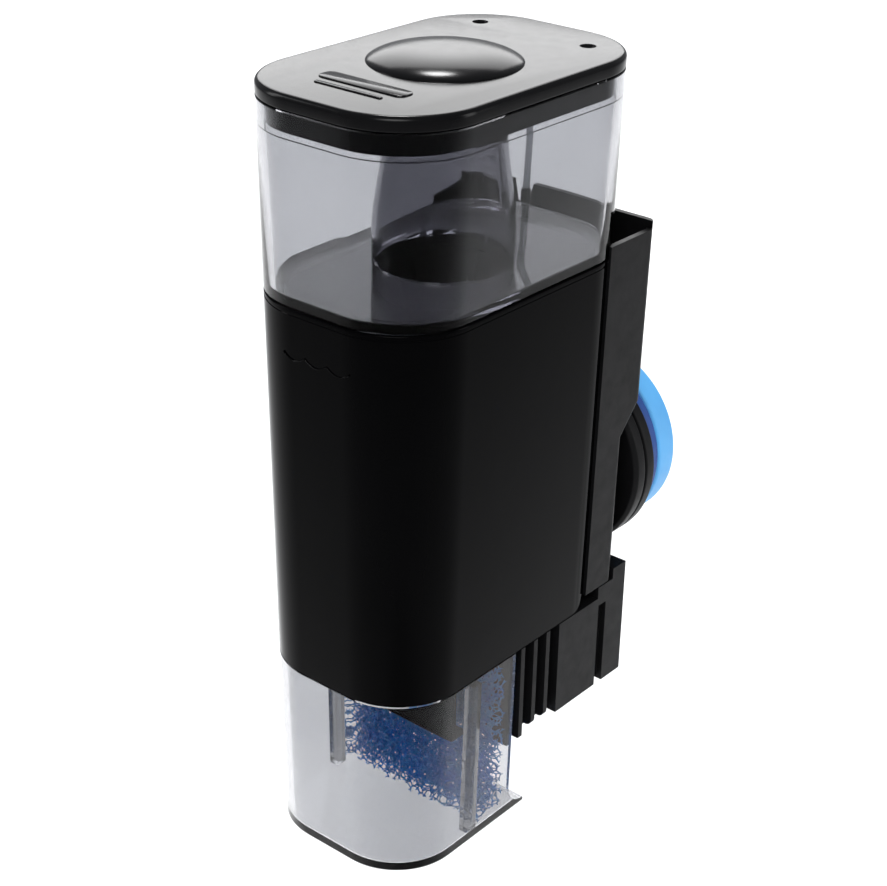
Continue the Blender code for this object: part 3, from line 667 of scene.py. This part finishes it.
def round_rear_edges(body):
    """Round the sleeve's two upright rear edges, where it ends against the shaft."""
    rear = AXIS.y + SLEEVE_REAR

    def on_edge(vert):
        side = WIDTH / 2 - draft_inset(vert.co.z - AXIS.z)
        return abs(vert.co.y - rear) < 0.01 * MM and abs(abs(vert.co.x) - side) < 0.05 * MM

    bm = bmesh.new()
    bm.from_mesh(body.data)
    edges = [e for e in bm.edges if on_edge(e.verts[0]) and on_edge(e.verts[1])]
    bmesh.ops.bevel(bm, geom=edges, offset=0.5 * MM, segments=4, profile=0.5, affect="EDGES")
    bm.to_mesh(body.data)
    bm.free()


def make_skimmer_body():
    """Inner tank, and the glossy sleeve over its front and sides, with a shadow line under the seam."""
    tank_out, tank_in = TANK_INSET, TANK_INSET + TANK_WALL
    outer, inner = [], []
    for z, rear in ((SLEEVE_BOTTOM, TANK_LOWER_REAR), (SHAFT_STEP_BOTTOM, TANK_LOWER_REAR),
                    (SHAFT_STEP_TOP + 8 * MM, None), (SEAM, None)):
        back = DEPTH / 2 - draft_inset(z) - tank_out if rear is None else rear
        outer.append(body_ring(z, tank_out, back))
        inner.append(body_ring(z, tank_in, back - TANK_WALL))
    body = loft("sleeve_and_tank", outer + inner[::-1], caps=False)
    overlap = TANK_INSET + 0.4 * MM
    line = SEAM - 1.6 * MM
    foot = SLEEVE_BOTTOM - 0.25 * MM
    rings = [body_ring(foot, overlap)]
    rings += fillet(foot + 0.3 * MM, 0.3 * MM, 0.3 * MM, -90, 0, 4)
    rings += [body_ring(line - 0.35 * MM, 0.0), body_ring(line - 0.15 * MM, 0.22 * MM),
              body_ring(line + 0.15 * MM, 0.22 * MM), body_ring(line + 0.35 * MM, 0.0)]
    rings += fillet(SEAM - 0.45 * MM, 0.45 * MM, 0.45 * MM, 0, 90, 4)
    rings += [body_ring(SEAM, overlap)]
    jacket = loft("jacket", rings, caps=False)
    r = 7.0 * MM
    far = -DEPTH
    corner = arc((SLEEVE_REAR - r, foot + r), r, -90, 0, 16)
    side = [(far, SLEEVE_BOTTOM - MM), (SLEEVE_REAR - r, SLEEVE_BOTTOM - MM)] + corner
    side += [(SLEEVE_REAR, SEAM + MM), (far, SEAM + MM)]
    boolean(jacket, prism("side_view", side, -WIDTH, WIDTH), "INTERSECT")
    join(body, jacket)
    round_rear_edges(body)
    finish_piece(smooth(body), "housing", "gloss_black", "skimmer_body")


def make_level_mark():
    """Three shallow waves on the front: the water line to set the unit to."""
    z, length, rise = 170.4 * MM, 25.0 * MM, 1.7 * MM
    y = -DEPTH / 2 + draft_inset(z) + 0.02 * MM
    steps = 90
    points = [Vector((length * (i / steps - 0.5), y, z - rise * abs(math.sin(3 * math.pi * i / steps))))
              for i in range(steps + 1)]
    mark = round_length("level_mark", points, 0.28 * MM, 10)
    finish_piece(mark, "housing", "gloss_black")


def shaft_ring(z, rear):
    """U-shaped section of the intake shaft at height z, open to the front."""
    half = WIDTH / 2 - draft_inset(z)
    r, n = 3.0 * MM, 8
    front = SLEEVE_REAR + 0.06 * MM
    right = [(half, front)] + arc((half - r, rear - r), r, 0, 90, n)
    left = [(-x, y) for x, y in reversed(right)]
    inner_half, inner_rear, inner_r = half - BODY_WALL, rear - BODY_WALL, r - BODY_WALL
    corner = arc((inner_half - inner_r, inner_rear - inner_r), inner_r, 0, 90, n)
    inner_left = [(-inner_half, front)] + [(-x, y) for x, y in corner]
    inner_right = [(-x, y) for x, y in reversed(inner_left)]
    return [(x, y, z) for x, y in right + left + inner_left + inner_right]


def notch(name, top_left, bottom_left, bottom_right, top_right, bottom):
    """Cutter for an opening with slanted sides in the upper edge of the shaft's rear wall."""
    top = SHAFT_REAR_TOP + MM
    points = [(top_left, top), (bottom_left, bottom), (bottom_right, bottom), (top_right, top)]
    return prism(name, points, SHAFT_UPPER_REAR - 2 * BODY_WALL, SHAFT_UPPER_REAR + MM, axis="Y")


def make_intake_shaft():
    shaft = loft("shaft_shell", [
        shaft_ring(SHAFT_BOTTOM, SHAFT_LOWER_REAR), shaft_ring(SHAFT_STEP_BOTTOM, SHAFT_LOWER_REAR),
        shaft_ring(SHAFT_STEP_TOP, SHAFT_UPPER_REAR), shaft_ring(SHAFT_REAR_TOP, SHAFT_UPPER_REAR),
    ])
    top = SHAFT_REAR_TOP + MM
    cut(
        shaft,
        loft("cup_space", [body_ring(SEAM - MM, -GAP), body_ring(top, -GAP)]),
        block("side_top", (-WIDTH, 0, SHAFT_SIDE_TOP), (WIDTH, SHAFT_UPPER_REAR - BODY_WALL, top)),
        notch("cable_slot", -20.2 * MM, -17.6 * MM, -13.8 * MM, -11.0 * MM, SHAFT_REAR_TOP - 9 * MM),
        notch("small_notch", -30.2 * MM, -29.8 * MM, -28.6 * MM, -28.2 * MM, SHAFT_REAR_TOP - 2.6 * MM),
        rod("holder_seat", 6.4 * MM, SHAFT_LOWER_REAR - 2 * BODY_WALL, SHAFT_LOWER_REAR + MM,
            at=(0, 0, HOLDER_Z), axis="Y"),
    )
    finish_piece(soften(shaft, 0.25 * MM, 2), "housing", "satin_black", "intake_shaft")


def make_reaction_tube():
    rim = 0.7 * MM
    low, top = REACTION_BOTTOM, REACTION_TOP
    crown = arc((REACTION_OUTER - rim, top - rim), rim, 0, 90, 6)
    crown += arc((REACTION_INNER + rim, top - rim), rim, 90, 180, 6)
    floor = low + 2 * MM
    profile = [(0, low), (REACTION_OUTER, low)] + crown + [(REACTION_INNER, floor), (0, floor)]
    tube = turned("reaction_pipe", profile, steps=128)
    cut(tube, rod("inlet", OUTLET_RADIUS, low - MM, low + 3 * MM, at=(0, OUTLET_Y, 0)))
    finish_piece(smooth(tube), "housing", "satin_black", "reaction_tube", look="gloss_black")


def make_flow_baffle():
    low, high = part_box("flow_baffle")
    thick, foot = 1.7 * MM, 1.8 * MM
    z0, z1 = height(low), height(high)
    y0, y1 = depth(low), depth(high)
    section = [(y0, z0), (y1, z0), (y1, z0 + foot), (y0 + thick, z0 + foot), (y0 + thick, z1), (y0, z1)]
    plate = prism("baffle_plate", section, low.x, high.x)
    finish_piece(soften(plate, 0.3 * MM), "housing", "satin_black", "flow_baffle", look="gloss_black")


# Pump housing ---------------------------------------------------------------------------------------------


def make_pump_housing():
    top = SLEEVE_BOTTOM - GAP
    upper = SHAFT_BOTTOM - GAP
    rear_top = height(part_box("pump_housing")[1])
    flange_bottom = height(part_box("pump_housing")[0])
    inner = HOUSING_CORE - HOUSING_WALL
    front_in, rear_in = HOUSING_FRONT + FRONT_WALL, HOUSING_REAR - HOUSING_WALL
    core, face, low = HOUSING_CORE, HOUSING_FACE, HOUSING_BOTTOM
    housing = block("pump_bay", (-core, HOUSING_FRONT, low), (core, HOUSING_REAR, top))
    groove = face - 2 * MM
    join(
        housing,
        block("side_blocks", (-face, BLOCK_FRONT, low), (face, BLOCK_REAR, top)),
        block("groove_floor", (-groove, BLOCK_REAR - MM, low + MM), (groove, GROOVE_REAR + MM, top)),
        block("rear_block", (-face, GROOVE_REAR, low), (face, HOUSING_REAR, top)),
        block("shaft_foot", (-face, TANK_LOWER_REAR + GAP, top - 3 * MM), (face, HOUSING_REAR, upper)),
        block("rear_hood", (-face, SHAFT_LOWER_REAR + GAP, upper - MM), (face, HOUSING_REAR, rear_top)),
        block("front_flange", (-core, HOUSING_FRONT, flange_bottom), (core, front_in, low + MM)),
    )
    for i in range(RIBS):
        y = FIRST_RIB + i * RIB_PITCH
        foot = low if i == 0 else low + 1.4 * MM
        r = 0.4 * MM if i == 0 else 2.2 * MM
        rounded = arc((face - r, foot + r), r, 0, -90, 6)
        points = [(face, top)] + rounded + [(-x, z) for x, z in reversed(rounded)] + [(-face, top)]
        join(housing, prism("rib", points, y, y + RIB_THICKNESS, axis="Y"))
    cut(
        housing,
        block("bay", (-inner, front_in, low - 5 * MM), (inner, rear_in, top - 2 * MM)),
        block("channel", (-inner, TANK_LOWER_REAR - MM, top - 5 * MM),
              (inner, SHAFT_LOWER_REAR - 2 * MM, rear_top + MM)),
        block("hood_space", (-inner, SHAFT_LOWER_REAR - 3 * MM, top - 5 * MM),
              (inner, rear_in, rear_top - 2 * MM)),
        rod("outlet_hole", OUTLET_RADIUS, top - 4 * MM, top + MM, at=(0, OUTLET_Y, 0)),
    )
    for i in range(RIBS):
        y = FIRST_RIB + RIB_THICKNESS + i * RIB_PITCH + STRAINER_OFFSET
        cut(housing, block("strainer", (-face, y, low + 5 * MM), (face, y + STRAINER_WIDTH, top - 5 * MM)))
    finish_piece(soften(housing, 0.25 * MM, 2), "housing", "satin_black", "pump_housing")


# Air line -------------------------------------------------------------------------------------------------


def air_line_place():
    """Where the upright axis stands that the pipe, its collar, the silencer and the screw share."""
    low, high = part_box("air_socket")
    return (low.x + high.x) / 2, depth((low + high) / 2)


def make_air_pipe():
    x, y = air_line_place()
    for name, node, slot, look, inner in (
        ("air_collar", "air_socket", "black_rubber", "black_rubber", 0.8 * MM),
        ("air_stem", "air_pipe", "clear", "smoke_clear", 0.6 * MM),
        ("silencer_sleeve", "silencer", "satin_black", "satin_black", 1.0 * MM),
    ):
        low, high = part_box(node)
        outer = (high.x - low.x) / 2
        piece = ring_piece(name, outer, inner, height(low), height(high), at=(x, y, 0), steps=40)
        finish_piece(piece, "housing", slot, node, look=look)


def make_air_screw():
    x, y = air_line_place()
    low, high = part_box("air_screw")
    head, shank = (high.x - low.x) / 2, 0.7 * MM
    z0, z1 = height(low), height(high)
    shoulder = z1 - 2.5 * MM
    screw = turned("screw_knob", rounded_profile([
        (0, z0), (shank, z0), (shank, shoulder), (head, shoulder), (head, z1), (0, z1)], 0.15 * MM, 3),
        at=(x, y, 0), steps=48)
    cut(screw, block("drive_slot", (x - 2 * MM, y - 0.25 * MM, z1 - 0.8 * MM),
                     (x + 2 * MM, y + 0.25 * MM, z1 + MM)))
    finish_piece(smooth(screw), "air_screw", "red_plastic", "air_screw")


def make_air_hose():
    route = [Vector(p) * MM for p in (
        (-12.7, 56.5, 159.5), (-12.7, 56.3, 148), (-12.7, 55.0, 138), (-12.8, 51.6, 129),
        (-13.2, 48.0, 121.5), (-13.8, 46.9, 113), (-14.6, 46.9, 102), (-16.8, 47, 86), (-20, 47.1, 72),
        (-21.6, 47, 61), (-21.8, 42, 51), (-21.8, 33, 46.4), (-21.8, 21, 45.6), (-20.9, 11.5, 45.6),
        (-17.8, 6.4, 45.6), (-13.4, 4.8, 45.6),
    )]
    hose = round_length("hose_tube", catmull_rom(route, 8), 1.55 * MM, 18)
    finish_piece(hose, "housing", "hose", "air_hose")


# Lower box ------------------------------------------------------------------------------------------------


def make_lower_box():
    top = SLEEVE_BOTTOM - GAP
    collar_out = TANK_INSET + TANK_WALL + GAP
    collar_in = collar_out + 1.6 * MM
    collar_top = height(box_high)
    rings = fillet(BOX_FLOOR + 1.2 * MM, BOX_WALL + 1.2 * MM, 1.2 * MM, -90, 0, 6)
    # The shoulder under the collar is nearly level, as a slope there refracts into dark dashes
    rings += [
        body_ring(top - 1.5 * MM, BOX_WALL), body_ring(top - 1.2 * MM, collar_in),
        body_ring(collar_top, collar_in), body_ring(collar_top, collar_out),
        body_ring(top, collar_out), body_ring(top, 0.3 * MM),
        body_ring(top - 0.3 * MM, 0.0),
    ]
    rings += fillet(1.0 * MM, 1.0 * MM, 1.0 * MM, 0, -90, 6)
    box = loft("trap_shell", rings)
    r = BOX_FLOOR_REAR - BOX_SIDE_REAR
    flare = arc((BOX_FLOOR_REAR, BOX_FLOOR + r), r, 180, 270, 16)
    above, far = collar_top + MM, DEPTH
    opening = [(BOX_SIDE_REAR, above)] + flare + [(far, BOX_FLOOR), (far, above)]
    cut(
        box,
        prism("rear_opening", opening, -WIDTH, WIDTH),
        block("floor_end", (-WIDTH, BOX_FLOOR_REAR, -MM), (WIDTH, far, BOX_FLOOR + MM)),
    )
    finish_piece(smooth(box), "lower_box", "clear", "bubble_trap")


def make_sponge_rails():
    """Two upright rails on the side walls, which keep the sponge from sliding to the front."""
    front, back, width = -18.4 * MM, -14.2 * MM, 3.6 * MM
    for name, side in (("rail_left", -1), ("rail_right", 1)):
        rings = []
        for z in (BOX_FLOOR + TOUCH, SLEEVE_BOTTOM - GAP - 4 * MM):
            wall = side * (WIDTH / 2 - draft_inset(z) - BOX_WALL - TOUCH)
            inner = wall - side * width
            rings.append([(wall, front, z), (inner, front, z), (inner, back, z), (wall, back, z)])
        # The rails take a darker, greyer tint than the box they are moulded with: painted shade.
        finish_piece(soften(loft(name, rings), 0.3 * MM, 2), "lower_box", "clear", look="clear_shaded")


def kelvin_faces():
    """Faces of a unit foam cell, a truncated octahedron, as lists of corners in quarter units."""
    corners = set()
    for order in permutations((0, 1, 2)):
        for signs in product((-1, 1), repeat=3):
            corners.add(tuple(order[k] * signs[k] for k in range(3)))
    faces = []
    for n in product((-1, 0, 1), repeat=3):
        if sum(map(abs, n)) in (1, 3):
            reach = max(sum(a * b for a, b in zip(n, c)) for c in corners)
            faces.append([c for c in corners if sum(a * b for a, b in zip(n, c)) == reach])
    return faces


def foam_faces(half, turn, cell):
    """The faces of all cells in and near a block, each numbered and known by its corners in quarter units."""
    reach = int(np.linalg.norm(half) / cell) + 2
    margin = 2.4 * cell
    cell_faces = kelvin_faces()
    faces = {}
    for index in product(range(-reach, reach + 1), repeat=3):
        for shift in (0, 2):
            centre = tuple(4 * i + shift for i in index)
            if np.any(np.abs(turn @ centre) > half + margin):
                continue
            for face in cell_faces:
                points = frozenset(tuple(c + p for c, p in zip(centre, corner)) for corner in face)
                faces.setdefault(points, len(faces))
    return faces


def shaken(grid, jitter, random):
    """Bend the rows of corners in two slow waves, and move each corner a little."""
    swirl = np.sin(grid[:, [1, 2, 0]] * 300.0 + np.array((0.4, 1.7, 2.9))) * 1.0 * MM
    swirl += np.sin(grid[:, [2, 0, 1]] * 690.0 + np.array((2.2, 0.9, 1.3))) * 0.4 * MM
    return grid + swirl + random.uniform(-jitter, jitter, grid.shape)


def make_sponge():
    """Open-cell foam: three-sided struts along the edges of jittered cells, cut off at the block's faces.

    Each corner of the foam carries one point for each cell face that meets there, so that the struts share
    their ends and the whole block is one closed mesh.
    """
    low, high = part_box("sponge")
    cell, strut, jitter = 4.0 * MM, 0.34 * MM, 0.45 * MM
    margin = 0.35 * MM
    inside_low, inside_high = np.array(low) + margin, np.array(high) - margin
    middle, half = np.array((low + high) / 2), np.array((high - low) / 2)
    turn = np.array(Euler((0.6, 0.35, 0.9)).to_matrix()) * (cell / 4)
    faces = foam_faces(half, turn, cell)
    node_faces = {}
    for points, number in faces.items():
        for p in points:
            node_faces.setdefault(p, set()).add(number)
    faces_at_corner = 6
    nodes = [p for p in sorted(node_faces) if len(node_faces[p]) == faces_at_corner]
    members = {p: i for i, p in enumerate(nodes)}
    random = np.random.default_rng(7)
    grid = np.array(nodes, float) @ turn.T + middle
    place = shaken(grid, jitter, random)
    inside = np.all((place > inside_low) & (place < inside_high), axis=1)
    gather, count = np.zeros((len(faces), 3)), np.zeros(len(faces))
    for p, i in members.items():
        for f in node_faces[p]:
            gather[f] += place[i]
            count[f] += 1
    centres = gather / np.maximum(count, 1)[:, None]
    thick = strut * random.uniform(0.80, 1.30, len(nodes))

    steps = [s for s in product((-1, 0, 1), repeat=3) if sorted(map(abs, s)) == [0, 1, 1]]
    bm = bmesh.new()
    verts = {}

    def hub_point(i, f):
        if (i, f) not in verts:
            out = Vector(centres[f] - place[i]).normalized()
            verts[(i, f)] = bm.verts.new(Vector(place[i]) + out * thick[i])
        return verts[(i, f)]

    def strut_sides(near, far):
        for k in range(3):
            m = (k + 1) % 3
            bm.faces.new((near[k], near[m], far[m], far[k]))

    def cut_end(near, pull):
        """The end of a strut that leaves the block, drawn together and kept within the block."""
        base = sum((v.co for v in near), Vector()) / 3
        tips = [v.co + pull + (base - v.co) * 0.35 for v in near]
        return [bm.verts.new([min(max(tip[k], low[k]), high[k]) for k in range(3)]) for tip in tips]

    for p, i in members.items():
        if not inside[i]:
            continue
        around = [tuple(a + b for a, b in zip(p, s)) for s in steps]
        ends = [q for q in around if q in node_faces and len(node_faces[q] & node_faces[p]) == 3]
        for trio in combinations(ends, 3):
            shared = [node_faces[p] & node_faces[a] & node_faces[b] for a, b in combinations(trio, 2)]
            bm.faces.new([hub_point(i, min(s)) for s in shared])
        for q in ends:
            j = members[q]
            three = sorted(node_faces[p] & node_faces[q])
            near = [hub_point(i, f) for f in three]
            if not inside[j]:
                far = cut_end(near, Vector(place[j] - place[i]) * random.uniform(0.25, 0.6))
                strut_sides(near, far)
                bm.faces.new(far)
            elif i < j:
                strut_sides(near, [hub_point(j, f) for f in three])
    bmesh.ops.translate(bm, verts=bm.verts, vec=-AXIS)
    foam = make_object("sponge_foam", bm)
    finish_piece(smooth(foam, 80.0), "lower_box", "blue_sponge", "sponge")


# Magnetic holder ------------------------------------------------------------------------------------------


def span(node):
    """Front, rear and radius of one of the holder's round pieces."""
    low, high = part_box(node)
    return depth(low), depth(high), (high.x - low.x) / 2


def make_holder_boss():
    front, rear, wide = span("holder_boss")
    neck_front, neck_rear = SHAFT_LOWER_REAR - BODY_WALL - GAP, SHAFT_LOWER_REAR + GAP
    boss = turned("boss_turned", rounded_profile([
        (0, front), (8.6 * MM, front), (8.6 * MM, neck_front), (6.0 * MM, neck_front), (6.0 * MM, neck_rear),
        (wide, neck_rear), (wide, rear), (0, rear)], 0.6 * MM), HOLDER_AXLE, 96, "Y")
    finish_piece(smooth(boss), "holder", "satin_black", "holder_boss")


def make_magnet_carrier():
    """Shell round the magnet: a shallow ring in its face and a groove round its side."""
    front, rear, r = span("magnet_carrier")
    ring, web = front + 0.7 * MM, front + 2.4 * MM
    core = 24.3 * MM
    groove, mouth = front + 5.0 * MM, 1.1 * MM
    carrier = turned("carrier_turned", rounded_profile([
        (0, front), (r - 11.2 * MM, front), (r - 10.6 * MM, ring), (r - 9.6 * MM, ring),
        (r - 9 * MM, front), (r - 1.2 * MM, front), (r, front + 1.2 * MM), (r, groove),
        (r - 0.9 * MM, groove + 0.25 * MM), (r - 0.9 * MM, groove + mouth - 0.25 * MM), (r, groove + mouth),
        (r, rear - MM), (r - MM, rear), (core, rear), (core, web), (0, web),
    ], 0.4 * MM), HOLDER_AXLE, 128, "Y")
    finish_piece(smooth(carrier), "holder", "satin_black", "magnet_carrier")


def make_holder_discs():
    for name, node, slot, edge in (
        ("core_disc", "magnet_core", "ferrite", 0.4 * MM),
        ("backing_disc", "pad_backing", "navy_rubber", 0.5 * MM),
        ("pad_disc", "buffer_pad", "blue_rubber", 1.3 * MM),
    ):
        front, rear, r = span(node)
        disc = turned(name, rounded_profile([(0, front), (r, front), (r, rear), (0, rear)], edge, 6),
                      HOLDER_AXLE, 128, "Y")
        finish_piece(smooth(disc, 50.0), "holder", slot, node)


# Carried-over CAD pieces, camera, light and floor ---------------------------------------------------------


def dress_cad_nodes():
    """Give every CAD node that still shows the look of its own slot."""
    slots = {part["node"]: part["material_slot"] for part in frame["record"]["subparts"]}
    for name, obj in frame["nodes"].items():
        if not obj.hide_render:
            obj.data.materials.clear()
            obj.data.materials.append(LOOKS[slots[name]])


def aim(obj, target, roll=0.0):
    """Turn a camera or light from where it stands to its target; roll is in degrees."""
    back = (obj.location - Vector(target)).normalized()
    right = Vector((-back.y, back.x, 0)).normalized()
    up = back.cross(right)
    r = math.radians(roll)
    side = right * math.cos(r) + up * math.sin(r)
    top = up * math.cos(r) - right * math.sin(r)
    obj.matrix_world = Matrix.Translation(obj.location) @ Matrix((side, top, back)).transposed().to_4x4()


def make_camera():
    """The photograph's viewpoint, in metres, found by fitting the part's outline to the picture's."""
    place, target = (0.3341, -0.4880, 0.2882), (0.0088, -0.0949, 0.0315)
    data = bpy.data.cameras.new("camera")
    data.lens = 77.1
    data.sensor_width = 36.0
    camera = bpy.data.objects.new("camera", data)
    bpy.context.scene.collection.objects.link(camera)
    camera.location = place
    aim(camera, target, roll=1.1)
    bpy.context.scene.camera = camera


def soft_light(name, at, target, size, radiance, spread=180.0):
    """Rectangular softbox of a given brightness, narrowed like a gridded one by spread, in degrees."""
    width, tall = size
    data = bpy.data.lights.new(name, "AREA")
    data.shape = "RECTANGLE"
    data.size, data.size_y = width, tall
    data.energy = radiance * math.pi * width * tall
    data.spread = math.radians(spread)
    light = bpy.data.objects.new(name, data)
    bpy.context.scene.collection.objects.link(light)
    light.location = at
    aim(light, target)


def make_softboxes():
    """A large one that shines in the lid, a tall one to each side and a key from the front."""
    soft_light("lid_softbox", at=(-0.86, 0.95, 0.83), target=(0, -0.087, 0.147), size=(1.2, 0.9),
               radiance=4.15)
    soft_light("right_strip", at=(1.00, 0.60, 0.25), target=(0, -0.08, 0.0), size=(0.3, 0.8),
               radiance=2.0, spread=120.0)
    soft_light("left_strip", at=(-0.95, -0.60, 0.45), target=(-0.15, -0.25, -0.15), size=(0.3, 0.8),
               radiance=2.0, spread=110.0)
    soft_light("front_key", at=(0.50, -0.95, 0.75), target=(0, -0.09, -0.06), size=(0.7, 0.7),
               radiance=0.7, spread=45.0)


def make_floor_spot():
    """Round light straight down on the floor behind the unit, to whiten the background."""
    spot = bpy.data.lights.new("floor_spot", "SPOT")
    spot.energy = 69
    spot.spot_size, spot.spot_blend = math.radians(90.0), 0.6
    spot.shadow_soft_size = 0.15
    lamp = bpy.data.objects.new("floor_spot", spot)
    bpy.context.scene.collection.objects.link(lamp)
    lamp.location = (-0.55, 0.46, 1.42)


def make_world():
    world = bpy.data.worlds.new("studio")
    world.use_nodes = True
    background = world.node_tree.nodes["Background"]
    background.inputs["Color"].default_value = (0.93, 0.95, 1.0, 1.0)
    background.inputs["Strength"].default_value = 0.40
    bpy.context.scene.world = world


def make_floor():
    """White floor, low enough for the lower box to be pulled off above it."""
    travel = max(j["range_m"][1] for j in frame["joints"] if j["name"] == "box_pull")
    clearance, half_size = 4 * MM, 6.0
    floor_z = cad_box[0][2] - travel - clearance
    bm = bmesh.new()
    bmesh.ops.create_grid(bm, x_segments=1, y_segments=1, size=half_size)
    bmesh.ops.translate(bm, verts=bm.verts, vec=Vector((0, 0, floor_z)) - AXIS)
    floor = make_object("floor", bm)
    look = Look("floor_paper", Specular_IOR_Level=0.2)
    look.color(look.noise(3, 3), (0.86, 0.86, 0.86), (0.89, 0.89, 0.89))
    look.spread(look.noise(60, 3), 0.75, 0.9)
    floor.data.materials.append(look.material)


bpy.context.scene.view_settings.view_transform = "Standard"
make_camera()
make_lid()
make_lid_plate()
make_foam_cup()
make_riser()
make_seals()
make_skimmer_body()
make_level_mark()
make_intake_shaft()
make_reaction_tube()
make_flow_baffle()
make_pump_housing()
make_air_pipe()
make_air_screw()
make_air_hose()
make_lower_box()
make_sponge_rails()
make_sponge()
make_holder_boss()
make_magnet_carrier()
make_holder_discs()
dress_cad_nodes()
make_softboxes()
make_floor_spot()
make_world()
make_floor()
